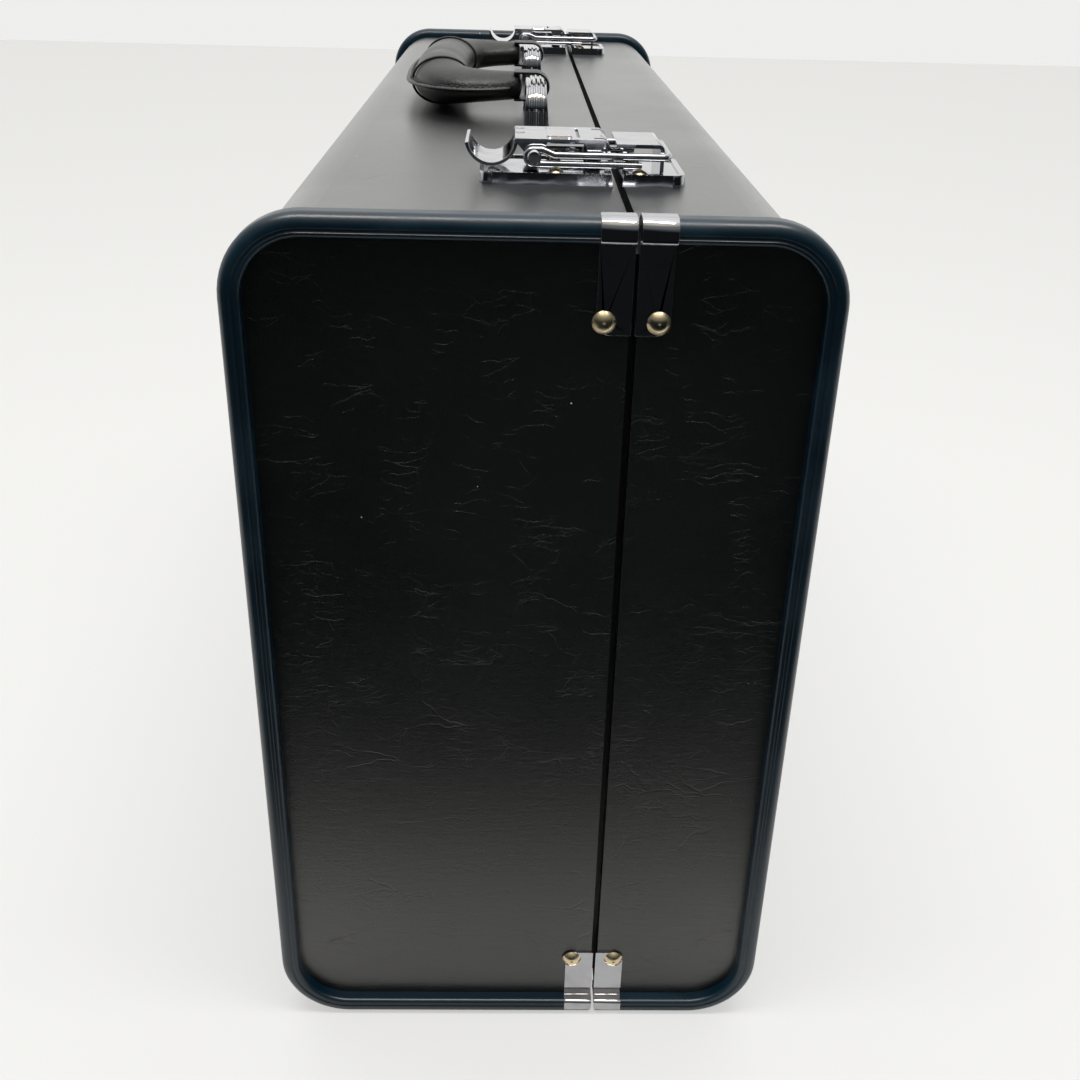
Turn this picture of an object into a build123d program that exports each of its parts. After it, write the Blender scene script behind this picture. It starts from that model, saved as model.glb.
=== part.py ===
# Trumpet case, built as its makers build it: plywood shells under vinyl, end panels,
# round end beads, draw latches, a leather handle on two arches and a fitted interior.
# X runs across the thickness, with the body on the negative side and the lid on the positive.
# Y runs along the length, Z is up, and the origin is the middle of the base.
from build123d import *

import os

os.makedirs("parts", exist_ok=True)

# Driving dimensions of the case, in millimetres
WIDTH = 174.0
LENGTH = 566.0
HEIGHT = 296.0
PARTING = 27.5
SHELL_GAP = 2.2
PLY = 6.0
WRAP_R = 19.3
GLUE = 0.05
RUNNING = 0.06

# End bead: how far it stands out, how deep it is along the case, its roundings and its groove
BEAD_PROUD = 4.8
BEAD_DEPTH = 10.5
BEAD_FOOT = 1.8
BEAD_R = 3.5
FOOT_R = 1.4
GROOVE_R = 0.9
GROOVE_DEPTH = 0.35
GROOVE_DOWN = 4.45
BEAD_LIP = 1.7
LIP_T = 0.9
BEAD_GAP = 1.4

# Sheet-metal clips that close the bead ends, and their dome nails
SHEET = 0.7
CLIP_W = 10.0
CLIP_GAP = 1.0
CLIP_TABS = {"top": 28.2, "base": 22.7}
CLIP_STANDS = {"top": 0.4, "base": 0.0}
CLIP_CORNER_R = 4.0
RELIEF_R = 4.0
NAIL_XS = {"body": 19.2, "lid": 34.6}
NAIL_INSETS = {"top": 24.4, "base": 19.6}
NAIL_R = 3.4
NAIL_DOME = 1.8
NAIL_SHANK_R = 1.1
NAIL_SHANK = 4.5

# Draw latches: base and catch pans
LATCH_Y = 198.5
PAN_W = 33.0
PAN_H = 3.7
PAN_SINK = 0.6
PAN_RIM = 2.2
PAN_TAPER = 7
PAN_CORNER_R = 4.5
BASE_SPAN = (-17.6, 25.0)
CATCH_SPAN = (28.0, 48.5)
RIVET_XS = {"body": 7.0, "lid": 33.5}
RIVET_U = 13.0
RIVET_R = 2.5
RIVET_DOME = 1.1
RIVET_SHANK_R = 1.4

# Draw latches: pivot, lever, bail and keeper, with heights above the deck
PIVOT = (19.0, 9.9)
PIN_R = 1.0
EAR_IN = 8.6
EAR_R = 2.2
EAR_CLEAR = 0.3
WALL_T = 1.0
LEVER_W = 25.0
LEVER_H = 12.9
LEVER_NOSE = (23.6, 9.5)
LEVER_BEND_R = 2.5
SCOOP_START = -5.6
SCOOP_LOW = (-13.6, 5.4)
SCOOP_TIP = (-21.3, 11.9)
LEVER_WALL_IN = 10.4
STUD = (0.0, 8.2)
STUD_R = 0.9
STUD_HEAD_R = 2.3
STUD_HEAD_T = 0.8
BAIL_U = 14.1
WIRE_R = 1.1
EYE_R = 2.15
SPRING_END_X = 34.0
CROSSBAR = (42.65, 8.8)
KEEPER_SPAN = (26.0, 41.2)
KEEPER_H = 12.3
KEEPER_T = 1.2
KEEPER_W = 24.6

# Handle and the arches that it turns on, with heights above the deck
HANDLE_X = 2.6
ARCH_LEGS = (50.0, 96.0)
ARCH_CROWN = 13.5
ARCH_T = 3.0
ARCH_WIDTHS = (10.1, 7.6)
ARCH_CROWNED = 2.2
ARCH_BEND_R = 8.0
FLUTE_R = 0.6
FLUTE_PITCH = 1.9
STRAP_CLEAR = 0.12
TENON = 8.0
HANDLE_AXIS_H = 11.5
LOOP_Y = 64.0
LOOP_W = 12.0
LOOP_RADII = (4.65, 6.0)
GRIP_H = 10.5
PLATE_SIZE = (20.0, 66.0, 1.5)

# Hinges: case hinges along the bottom edge, and the small ones of the accessory flap
HINGE_YS = (-190.0, 0.0, 190.0)
HINGE_L = 40.0
KNUCKLE_R = 1.95
KNUCKLE_L = 7.8
BODY_ROWS = (-16.0, 0.0, 16.0)
LID_ROWS = (-8.0, 8.0)
LEAF_T = 1.0
LEAF_REACH = 14.0
LEAF_RIVET_OUT = 8.5
LEAF_RIVET_PITCH = 13.0
LEAF_RIVET_R = 2.1
LEAF_RIVET_DOME = 0.6
FLAP_HINGE_YS = (-200.0, 120.0)
FLAP_KNUCKLE_R = 1.5
FLAP_LEAF_T = 0.8
FLAP_LEAF_REACH = 10.0
FLAP_PIN_R = 0.7

# Rim, linings and pads
LINING = 4.0
PAD = 8.0
PAD_CLEAR = 0.2
RIM_BASE_X = 16.0
RIM_TIP = 8.0
RIM_TIP_T = 3.0
RIM_CLEAR = 1.0
LID_LINING_X = 37.0

# Compartments and the blocks that hold the instrument
PARTITION_Z = 208.0
PARTITION_T = 6.0
PARTITION_X = -8.6
CROSS_YS = (40.0, 186.0)
CROSS_T = 5.0
FLAP_FACE_X = -2.0
FLAP_T = 6.0
FLAP_ZS = (215.6, 275.6)
FLAP_YS = (-266.0, 184.0)
TAB_SIZE = (16.0, 28.0, 1.4)
BLOCK_X = -6.0
BELL_BLOCK = (-180.0, -150.0)
BELL_NOTCH = (110.0, 38.0)
VALVE_BLOCKS = ((-55.0, -30.0), (60.0, 85.0))
TUBE_NOTCHES = ((72.0, 10.0), (150.0, 12.5))
TUBE_X = -28.0
MOUTHPIECE_X = -24.0
WELL_YS = (211.0, 245.0)
WELL_R = 14.0
WELL_DEPTH = 36.0

# What follows from them
BASE = BEAD_PROUD
TOP = HEIGHT - BEAD_PROUD
MID_Z = HEIGHT / 2
WRAP_H = TOP - BASE
WRAP_HALF = WIDTH / 2 - BEAD_PROUD
WRAP_END = LENGTH / 2 - BEAD_DEPTH
PANEL_FACE = WRAP_END + PLY
INNER_LOW = BASE + PLY
INNER_HIGH = TOP - PLY
INNER_HALF = WRAP_HALF - PLY
LINED_LOW = INNER_LOW + LINING
LINED_HIGH = INNER_HIGH - LINING
LINED_END = WRAP_END - LINING
PAD_FACE = INNER_HALF - PAD
SEAT = 0.2
HINGE_Z = BASE - LEAF_T - KNUCKLE_R + SEAT
FLAP_AXIS_Z = LINED_HIGH - FLAP_LEAF_T - FLAP_KNUCKLE_R + SEAT
FLAP_AXIS_X = FLAP_FACE_X + FLAP_LEAF_T + FLAP_KNUCKLE_R - SEAT
HALVES = {"body": -1, "lid": 1}
ENDS = {"near": -1, "far": 1}
LEVELS = {"top": (TOP, 1), "base": (BASE, -1)}


def finish(node, piece):
    """Label a finished piece and write it to its own file."""
    piece.label = node
    export_step(piece, f"parts/{node}.step")


def shell_edge(side):
    """Where a half's shell stops, beside the parting plane."""
    return PARTING + side * SHELL_GAP / 2


def half_outline(y, side, inset):
    """End view of one half: square at the parting edge, round at its outer corners."""
    edge = shell_edge(side)
    outer = side * (WRAP_HALF - inset)
    with BuildSketch(Plane.XZ.offset(-y)) as outline:
        with Locations(((edge + outer) / 2, MID_Z)):
            Rectangle(abs(outer - edge), WRAP_H - 2 * inset)
        fillet(outline.vertices().group_by(Axis.X)[0 if side < 0 else -1], WRAP_R - inset)
    return outline.sketch


def ring(x_from, x_to, inset, wall):
    """Rectangular ring along the four narrow walls, between two depths."""
    length = 2 * (WRAP_END - inset)
    height = INNER_HIGH - INNER_LOW - 2 * inset
    start = Plane((x_from, 0, MID_Z), x_dir=(0, 1, 0), z_dir=(1, 0, 0))
    with BuildPart() as frame:
        with BuildSketch(start):
            Rectangle(length, height)
            Rectangle(length - 2 * wall, height - 2 * wall, mode=Mode.SUBTRACT)
        extrude(amount=x_to - x_from)
    return frame.part


def rivet(plane, head_r, dome, shank_r, shank):
    """Domed head on a shank: the head stands up from the plane, the shank goes down."""
    with BuildPart() as fastener:
        with BuildSketch(Plane(plane.origin, x_dir=plane.x_dir, z_dir=plane.y_dir * -1)):
            with BuildLine():
                outline = Polyline(
                    (0, dome), (0, -shank), (shank_r, -shank), (shank_r, 0), (head_r, 0)
                )
                RadiusArc(outline @ 1, outline @ 0, -(head_r**2 + dome**2) / (2 * dome))
            make_face()
        revolve(axis=Axis(plane.origin, plane.z_dir))
    return fastener.part


def hinge_leaf(plane, side, radius, thick, reach, rows, pin_r):
    """Leaf of a hinge whose axis is the plane's Y axis; its plate lies above the axis, on one side."""
    under = radius - SEAT
    root = radius + 0.3
    across = Plane(plane.origin, x_dir=plane.x_dir, z_dir=plane.y_dir)
    with BuildPart() as leaf:
        with BuildSketch(plane.offset(under)) as blank:
            with Locations((side * (reach + root) / 2, 0)):
                Rectangle(reach - root, HINGE_L)
            fillet(blank.vertices().group_by(Axis.X)[-1 if side > 0 else 0], 2)
        extrude(amount=thick)
        for row in rows:
            with BuildSketch(plane.offset(radius / 2)):
                with Locations((side * (root + 0.1) / 2, row)):
                    Rectangle(root + 0.1, KNUCKLE_L)
            extrude(amount=under + thick - radius / 2)
            with BuildSketch(across.offset(row)):
                Circle(radius)
            extrude(amount=KNUCKLE_L / 2, both=True)
        with BuildSketch(across):
            Circle(pin_r + RUNNING)
        extrude(amount=HINGE_L, both=True, mode=Mode.SUBTRACT)
    return leaf.part


def hinge_pin(plane, pin_r):
    """Plain pin along the plane's Y axis, with its ends broken."""
    with BuildPart() as pin:
        with BuildSketch(Plane(plane.origin, x_dir=plane.x_dir, z_dir=plane.y_dir)):
            Circle(pin_r)
        extrude(amount=HINGE_L / 2, both=True)
        chamfer(pin.edges(), pin_r / 4)
    return pin.part


def case_hinge_plane(y):
    """Plane of a case hinge, on its axis."""
    return Plane((PARTING, y, HINGE_Z))


def nail_plane(half, way, level):
    """Plane where a dome nail's head sits on its clip."""
    z, up = LEVELS[level]
    place = (NAIL_XS[half], way * (PANEL_FACE + SHEET), z - up * NAIL_INSETS[level])
    return Plane(place, x_dir=(way, 0, 0), z_dir=(0, way, 0))


def deck_rivet_planes(half):
    """Planes where the latch rivets of one half sit on their pans."""
    x, high = RIVET_XS[half], TOP + PAN_H
    return [Plane((x, w * LATCH_Y + u * RIVET_U, high)) for w in (-1, 1) for u in (-1, 1)]


def leaf_rivet_planes(side):
    """Planes where the rivets of a half's hinge leaves sit under the case, facing down."""
    x, low = PARTING + side * LEAF_RIVET_OUT, BASE - LEAF_T
    steps = (-LEAF_RIVET_PITCH, 0, LEAF_RIVET_PITCH)
    return [Plane((x, y + s, low), z_dir=(0, 0, -1)) for y in HINGE_YS for s in steps]


def arch_strap(way, grow):
    """Strap of a handle arch at its full width, D-shaped across and grown all round."""
    near_leg, far_leg = [way * y for y in ARCH_LEGS]
    half_w, half_t = ARCH_WIDTHS[0] / 2 + grow, ARCH_T / 2 + grow
    with BuildPart() as strap:
        with BuildLine() as route:
            FilletPolyline(
                (HANDLE_X, near_leg, TOP - TENON),
                (HANDLE_X, near_leg, TOP + ARCH_CROWN),
                (HANDLE_X, far_leg, TOP + ARCH_CROWN),
                (HANDLE_X, far_leg, TOP - TENON),
                radius=ARCH_BEND_R,
            )
        with BuildSketch(Plane((HANDLE_X, near_leg, TOP - TENON), x_dir=(1, 0, 0))):
            edge, crown = way * (ARCH_CROWNED - half_t), -way * half_t
            with BuildLine():
                back = Polyline(
                    (-half_w, edge), (-half_w, way * half_t), (half_w, way * half_t), (half_w, edge)
                )
                ThreePointArc(back @ 1, (0, crown), back @ 0)
            make_face()
            if not grow:
                arc_r = (half_w**2 + ARCH_CROWNED**2) / (2 * ARCH_CROWNED)
                for x in [step * FLUTE_PITCH for step in (-1.5, -0.5, 0.5, 1.5)]:
                    with Locations((x, -way * (half_t - arc_r + (arc_r**2 - x**2) ** 0.5))):
                        Circle(FLUTE_R, mode=Mode.SUBTRACT)
        sweep(path=route.wire())
    return strap.part


# Plywood wraps: top, outer face and bottom of each half, bent in one piece
for half, side in HALVES.items():
    with BuildPart() as wrap:
        extrude(half_outline(WRAP_END, side, 0), amount=2 * WRAP_END)
        edge = shell_edge(side)
        with BuildSketch(Plane.XZ.offset(-WRAP_END)) as hollow:
            with Locations(((edge + side * INNER_HALF) / 2, MID_Z)):
                Rectangle(abs(side * INNER_HALF - edge), INNER_HIGH - INNER_LOW)
            fillet(hollow.vertices().group_by(Axis.X)[0 if side < 0 else -1], WRAP_R - PLY)
        extrude(amount=2 * WRAP_END, mode=Mode.SUBTRACT)
        with Locations(*deck_rivet_planes(half), *leaf_rivet_planes(side)):
            Cylinder(RIVET_SHANK_R + RUNNING, 4 * PLY, mode=Mode.SUBTRACT)
        if half == "body":
            for way in ENDS.values():
                add(arch_strap(way, STRAP_CLEAR), mode=Mode.SUBTRACT)
    finish(f"{half}_wrap", wrap.part)


def bead_plane(x, way, level):
    """Plane across a bead: x runs towards the end of the case, y stands out from the wrap."""
    z, up = LEVELS[level]
    return Plane((x, way * WRAP_END, z), x_dir=(0, way, 0), z_dir=(way * up, 0, 0))


def bead_section(plane, inset):
    """Bead profile, drawn in by inset where a clip covers it."""
    crown, foot, front = BEAD_PROUD - inset, inset - BEAD_FOOT, BEAD_DEPTH - inset
    with BuildSketch(plane) as section:
        Polygon(
            (-BEAD_LIP, GLUE),
            (-BEAD_LIP, LIP_T),
            (inset, LIP_T),
            (inset, crown),
            (front, crown),
            (front, foot),
            (PLY, foot),
            (PLY, GLUE),
            align=None,
        )
        fillet(section.sketch_local.vertices().group_by(Axis.Y)[-1], BEAD_R - inset)
        low = section.sketch_local.vertices().group_by(Axis.Y)[0]
        fillet(low.sort_by(Axis.X)[-1], FOOT_R - inset)
        if not inset:
            with Locations((BEAD_DEPTH + GROOVE_R - GROOVE_DEPTH, crown - GROOVE_DOWN)):
                Circle(GROOVE_R, mode=Mode.SUBTRACT)
    return section.sketch


def clip_section(plane, level):
    """Sheet that wraps over the bead, under its foot and along the end panel."""
    half_t, stand = SHEET / 2, CLIP_STANDS[level]
    back, crown = half_t - stand, BEAD_PROUD - half_t + stand
    front, foot = BEAD_DEPTH - half_t + stand, half_t - stand - BEAD_FOOT
    over, under = BEAD_R - half_t + stand, FOOT_R - half_t + stand
    with BuildSketch(plane) as section:
        with BuildLine():
            FilletPolyline(
                (back, LIP_T),
                (back, crown),
                (front, crown),
                (front, foot),
                (PLY + half_t, foot),
                (PLY + half_t, -CLIP_TABS[level]),
                radius=[over, over, under, SHEET],
            )
        trace(line_width=SHEET)
    return section.sketch


def hinge_relief(side):
    """What is cut from a half's lower parting corner so that the lid can swing."""
    corner = PARTING + side * CLIP_GAP / 2
    with BuildPart() as cutter:
        with BuildSketch(Plane.XZ):
            with Locations((corner + side * (RELIEF_R - 2) / 2, (RELIEF_R - 2) / 2)):
                Rectangle(RELIEF_R + 2, RELIEF_R + 2)
            with Locations((corner + side * RELIEF_R, RELIEF_R)):
                Circle(RELIEF_R, mode=Mode.SUBTRACT)
        extrude(amount=LENGTH, both=True)
    return cutter.part


# Ends of both halves: panels, beads, clips and nails
for half, side in HALVES.items():
    clip_edge = PARTING + side * CLIP_GAP / 2
    neck_edge = PARTING + side * BEAD_GAP / 2
    neck_root = clip_edge + side * CLIP_W
    relief = hinge_relief(side)
    outer = side * WRAP_HALF
    for end, way in ENDS.items():
        with BuildPart() as panel:
            extrude(half_outline(way * PANEL_FACE, side, 0), amount=way * PLY)
            with Locations(*[nail_plane(half, way, level) for level in LEVELS]):
                Cylinder(NAIL_SHANK_R + RUNNING, 2 * NAIL_SHANK, mode=Mode.SUBTRACT)
        finish(f"{half}_end_{end}", panel.part)

        with BuildPart() as bead:
            with BuildLine() as route:
                FilletPolyline(
                    (neck_root, way * WRAP_END, TOP),
                    (outer, way * WRAP_END, TOP),
                    (outer, way * WRAP_END, BASE),
                    (neck_root, way * WRAP_END, BASE),
                    radius=WRAP_R,
                )
            sweep(bead_section(bead_plane(neck_root, way, "top"), 0), path=route.wire())
            for level, (z, up) in LEVELS.items():
                neck = bead_section(bead_plane(neck_root, way, level), SHEET)
                extrude(neck, amount=(neck_edge - neck_root) * way * up)
            add(relief, mode=Mode.SUBTRACT)
        finish(f"{half}_bead_{end}", bead.part)

        for level, (z, up) in LEVELS.items():
            with BuildPart() as clip:
                fold = clip_section(bead_plane(neck_root, way, level), level)
                extrude(fold, amount=(clip_edge - neck_root) * way * up)
                tab_edges = clip.edges().filter_by(Axis.Y).group_by(Axis.Z)[0 if up > 0 else -1]
                fillet(tab_edges.sort_by(Axis.X)[-1 if side > 0 else 0], CLIP_CORNER_R)
                with Locations(nail_plane(half, way, level)):
                    Cylinder(NAIL_SHANK_R + RUNNING, 2 * NAIL_SHANK, mode=Mode.SUBTRACT)
                if level == "base":
                    add(relief, mode=Mode.SUBTRACT)
            finish(f"{half}_clip_{end}_{level}", clip.part)

    with BuildPart() as nails:
        for way in ENDS.values():
            for level in LEVELS:
                seat = nail_plane(half, way, level)
                add(rivet(seat, NAIL_R, NAIL_DOME, NAIL_SHANK_R, NAIL_SHANK))
    finish(f"{half}_clip_nails", nails.part)

    with BuildPart() as latch_rivets:
        for seat in deck_rivet_planes(half):
            add(rivet(seat, RIVET_R, RIVET_DOME, RIVET_SHANK_R, PAN_H + PLY))
    finish(f"{half}_latch_rivets", latch_rivets.part)

    with BuildPart() as leaf_rivets:
        for seat in leaf_rivet_planes(side):
            add(rivet(seat, LEAF_RIVET_R, LEAF_RIVET_DOME, RIVET_SHANK_R, LEAF_T + PLY))
    finish(f"{half}_hinge_rivets", leaf_rivets.part)


def pan(y, span, rounded):
    """Pressed pan of a latch: sloping walls, a rim, a sunk floor and two rivet holes."""
    deck = Plane(((span[0] + span[1]) / 2, y, TOP))
    length = span[1] - span[0]
    with BuildPart() as pressing:
        with BuildSketch(deck) as footprint:
            Rectangle(length, PAN_W)
            fillet(footprint.sketch_local.vertices().group_by(Axis.X)[rounded], PAN_CORNER_R)
        extrude(amount=PAN_H, taper=PAN_TAPER)
        with BuildSketch(deck.offset(PAN_H)):
            RectangleRounded(length - 2 * PAN_RIM, PAN_W - 2 * PAN_RIM, PAN_RIM)
        extrude(amount=-PAN_SINK, mode=Mode.SUBTRACT)
        with Locations(*deck_rivet_planes("body"), *deck_rivet_planes("lid")):
            Cylinder(RIVET_SHANK_R + RUNNING, 4 * PLY, mode=Mode.SUBTRACT)
    return pressing.part


def side_plane(y):
    """Plane for a latch's or the handle's side view: x along X, y above the deck, facing near."""
    return Plane((0, y, TOP), x_dir=(1, 0, 0), z_dir=(0, -1, 0))


# Draw latches: base with ears, lever with scoop, wire bail, and the catch on the lid
for end, way in ENDS.items():
    mid = way * LATCH_Y
    floor_h = PAN_H - PAN_SINK
    with BuildPart() as base:
        add(pan(mid, BASE_SPAN, 0))
        for hand in (-1, 1):
            with BuildSketch(side_plane(mid + hand * EAR_IN)):
                with Locations(PIVOT):
                    Circle(EAR_R)
                with Locations((PIVOT[0], (PIVOT[1] + floor_h) / 2)):
                    Rectangle(2 * EAR_R, PIVOT[1] - floor_h)
                with Locations(PIVOT):
                    Circle(PIN_R + RUNNING, mode=Mode.SUBTRACT)
            extrude(amount=-hand * WALL_T)
    finish(f"latch_base_{end}", base.part)

    with BuildPart() as lever:
        with BuildSketch(side_plane(mid)):
            with BuildLine():
                plate = FilletPolyline(
                    LEVER_NOSE,
                    (LEVER_NOSE[0], LEVER_H),
                    (SCOOP_START, LEVER_H),
                    radius=LEVER_BEND_R,
                )
                ThreePointArc(plate @ 1, SCOOP_LOW, SCOOP_TIP)
            trace(line_width=WALL_T)
        extrude(amount=LEVER_W / 2, both=True)
        with BuildSketch(Plane((8, mid, TOP + LEVER_H + WALL_T / 2))):
            RectangleRounded(8.5, LEVER_W - 6, 1.5)
        extrude(amount=0.5, taper=30)
        with Locations((14, mid, TOP + LEVER_H)):
            Box(1, 20, 2 * WALL_T, mode=Mode.SUBTRACT)
        ear_mids = [mid + hand * (EAR_IN + WALL_T / 2) for hand in (-1, 1)]
        with Locations(*[(PIVOT[0], y, TOP + PIVOT[1]) for y in ear_mids]):
            length, height = LEVER_NOSE[0] - PIVOT[0] + WALL_T, 2 * (LEVER_H - PIVOT[1] + WALL_T)
            along = (Align.MIN, Align.CENTER, Align.CENTER)
            Box(length, WALL_T + 2 * EAR_CLEAR, height, align=along, mode=Mode.SUBTRACT)
        for hand in (-1, 1):
            with BuildSketch(side_plane(mid + hand * LEVER_WALL_IN)):
                Polygon((-6.6, LEVER_H), (4.5, LEVER_H), (2.2, STUD[1]), (-2.2, STUD[1]), align=None)
                with Locations(STUD):
                    Circle(2.4)
                Polygon((15.4, LEVER_H), (22.6, LEVER_H), (21.1, PIVOT[1]), (16.9, PIVOT[1]), align=None)
                with Locations(PIVOT):
                    Circle(2.2)
                    Circle(PIN_R + RUNNING, mode=Mode.SUBTRACT)
            extrude(amount=-hand * WALL_T)
            with BuildSketch(side_plane(mid + hand * (LEVER_WALL_IN + WALL_T))):
                with Locations(STUD):
                    Circle(STUD_R)
            head_u = BAIL_U + WIRE_R + 2 * RUNNING
            extrude(amount=-hand * (head_u - LEVER_WALL_IN - WALL_T))
            with BuildSketch(side_plane(mid + hand * head_u)):
                with Locations(STUD):
                    Circle(STUD_HEAD_R)
            extrude(amount=-hand * STUD_HEAD_T, taper=30)
    finish(f"latch_lever_{end}", lever.part)

    low, high = STUD[1] - EYE_R, STUD[1] + EYE_R
    arm = [
        (SPRING_END_X, low),
        (STUD[0] - EYE_R - 0.2, low),
        (STUD[0] - EYE_R - 0.2, high),
        (2.5, high),
        (6.5, CROSSBAR[1]),
        CROSSBAR,
    ]
    near_arm = [(x, mid - BAIL_U, TOP + h) for x, h in arm]
    far_arm = [(x, mid + BAIL_U, TOP + h) for x, h in reversed(arm)]
    eye, ease, corner = EYE_R - 0.05, 1.2, 2.6
    with BuildPart() as bail:
        with BuildLine() as wire:
            FilletPolyline(
                *near_arm,
                *far_arm,
                radius=[eye, eye, ease, ease, corner, corner, ease, ease, eye, eye],
            )
        with BuildSketch(Plane(wire.wire() @ 0, z_dir=wire.wire() % 0)):
            Circle(WIRE_R)
        sweep(path=wire.wire())
    finish(f"latch_bail_{end}", bail.part)

    with BuildPart() as catch:
        add(pan(mid, CATCH_SPAN, -1))
        with BuildSketch(side_plane(mid)):
            with BuildLine():
                leg_x, plate_h = KEEPER_SPAN[1] - KEEPER_T / 2, KEEPER_H - KEEPER_T / 2
                FilletPolyline(
                    (KEEPER_SPAN[0], plate_h), (leg_x, plate_h), (leg_x, floor_h), radius=1.2
                )
            trace(line_width=KEEPER_T)
            with Locations((CATCH_SPAN[0] + KEEPER_T / 2, (floor_h + plate_h) / 2)):
                Rectangle(KEEPER_T, plate_h - floor_h)
        extrude(amount=KEEPER_W / 2, both=True)
    finish(f"latch_catch_{end}", catch.part)

with BuildPart() as lever_pins:
    for way in ENDS.values():
        with BuildSketch(side_plane(way * LATCH_Y)):
            with Locations(PIVOT):
                Circle(PIN_R)
        extrude(amount=LEVER_WALL_IN + WALL_T, both=True)
finish("latch_lever_pins", lever_pins.part)


# Handle arches: fluted straps with their legs through the top wall
for end, way in ENDS.items():
    with BuildPart() as arch:
        add(arch_strap(way, 0))
        with BuildSketch(side_plane(0)):
            with Locations((HANDLE_X, 0)):
                wide, slim = ARCH_WIDTHS[0] / 2, ARCH_WIDTHS[1] / 2
                Polygon(
                    (-wide, -TENON - 1), (wide, -TENON - 1), (wide, 0), (slim, ARCH_CROWN + ARCH_T),
                    (-slim, ARCH_CROWN + ARCH_T), (-wide, 0), align=None,
                )
        extrude(amount=LENGTH, both=True, mode=Mode.INTERSECT)
    finish(f"handle_arch_{end}", arch.part)

with BuildPart() as handle_plates:
    for way in ENDS.values():
        middle = way * (ARCH_LEGS[0] + ARCH_LEGS[1]) / 2
        with Locations((HANDLE_X, middle, INNER_HIGH - PLATE_SIZE[2] / 2)):
            Box(*PLATE_SIZE)
        add(arch_strap(way, STRAP_CLEAR), mode=Mode.SUBTRACT)
finish("handle_plates", handle_plates.part)

# Leather handle: ellipses along each arm into the grip, and a loop round each arch's crown
ARM_STATIONS = (
    (0.0, 64.0, HANDLE_AXIS_H, 180, 12.0, 10.8),
    (-7.0, 64.3, 11.4, 180, 16.5, 11.4),
    (-14.0, 65.0, 11.2, 181, 22.0, 12.0),
    (-26.0, 63.5, 10.8, 163, 26.5, 14.0),
    (-35.5, 53.0, GRIP_H, 125, 26.5, 17.5),
    (-38.5, 36.0, GRIP_H, 90, 24.0, 19.0),
)
with BuildPart() as handle:
    for x, y, h, heading, width, thick in ARM_STATIONS:
        ahead = Vector(1, 0, 0).rotate(Axis.Z, heading)
        with BuildSketch(Plane((x, -y, TOP + h), x_dir=(-ahead.Y, ahead.X, 0), z_dir=ahead)) as cut:
            Ellipse(width / 2, thick / 2)
    loft()
    extrude(cut.sketch, amount=ARM_STATIONS[-1][1])
    mirror(about=Plane.XZ)
    for way in ENDS.values():
        loop = Plane((HANDLE_X, way * LOOP_Y, TOP + HANDLE_AXIS_H), x_dir=(1, 0, 0), z_dir=(0, 1, 0))
        with BuildSketch(loop):
            Circle(LOOP_RADII[1])
        extrude(amount=LOOP_W / 2, both=True)
        with BuildSketch(loop):
            Circle(LOOP_RADII[0])
        extrude(amount=LOOP_W, both=True, mode=Mode.SUBTRACT)
finish("handle_leather", handle.part)

# Case hinges: a leaf on each half, a pin, and rivets made with the halves
for place, y in zip(("near", "middle", "far"), HINGE_YS):
    for half, side in HALVES.items():
        rows = BODY_ROWS if half == "body" else LID_ROWS
        with BuildPart() as leaf:
            add(hinge_leaf(case_hinge_plane(y), side, KNUCKLE_R, LEAF_T, LEAF_REACH, rows, PIN_R))
            with Locations(*leaf_rivet_planes(side)):
                Cylinder(RIVET_SHANK_R + RUNNING, 4 * LEAF_T, mode=Mode.SUBTRACT)
        finish(f"{half}_hinge_{place}", leaf.part)

with BuildPart() as hinge_pins:
    for y in HINGE_YS:
        add(hinge_pin(case_hinge_plane(y), PIN_R))
finish("hinge_pins", hinge_pins.part)

# Rim: a tongue round the mouth of the body that the lid closes over
with BuildPart() as rim:
    add(ring(RIM_BASE_X, shell_edge(-1), 0, LINING))
    add(ring(shell_edge(-1), shell_edge(-1) + RIM_TIP, RIM_CLEAR, RIM_TIP_T))
finish("body_rim", rim.part)

# Linings and pads: foam under plush on every inner face
with BuildPart() as body_lining:
    add(ring(-PAD_FACE, RIM_BASE_X, 0, LINING))
    extrude(half_outline(WRAP_END, -1, PLY + GLUE), amount=2 * WRAP_END, mode=Mode.INTERSECT)
    for way in ENDS.values():
        middle = way * (ARCH_LEGS[0] + ARCH_LEGS[1]) / 2
        with Locations((HANDLE_X, middle, INNER_HIGH)):
            Box(PLATE_SIZE[0] + 1, PLATE_SIZE[1] + 1, 5, mode=Mode.SUBTRACT)
finish("body_lining", body_lining.part)

with BuildPart() as lid_lining:
    add(ring(LID_LINING_X, PAD_FACE, 0, LINING))
    extrude(half_outline(WRAP_END, 1, PLY + GLUE), amount=2 * WRAP_END, mode=Mode.INTERSECT)
finish("lid_lining", lid_lining.part)

for half, side in HALVES.items():
    with BuildPart() as pad:
        blank = half_outline(WRAP_END - PAD_CLEAR, side, PLY + PAD_CLEAR)
        extrude(blank, amount=2 * (WRAP_END - PAD_CLEAR))
        split(bisect_by=Plane((side * PAD_FACE, 0, 0), z_dir=(side, 0, 0)), keep=Keep.TOP)
    finish(f"{half}_pad", pad.part)


def block(y_span, z_span, x_face):
    """Upholstered block between two places along the case, with its front edges softened."""
    depth = x_face + PAD_FACE
    middle = ((x_face - PAD_FACE) / 2, sum(y_span) / 2, sum(z_span) / 2)
    with BuildPart() as solid:
        with Locations(middle):
            Box(depth, y_span[1] - y_span[0], z_span[1] - z_span[0])
        front = solid.faces().sort_by(Axis.X)[-1]
        chamfer(front.edges().filter_by(Axis.Z), 2)
    return solid.part


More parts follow.
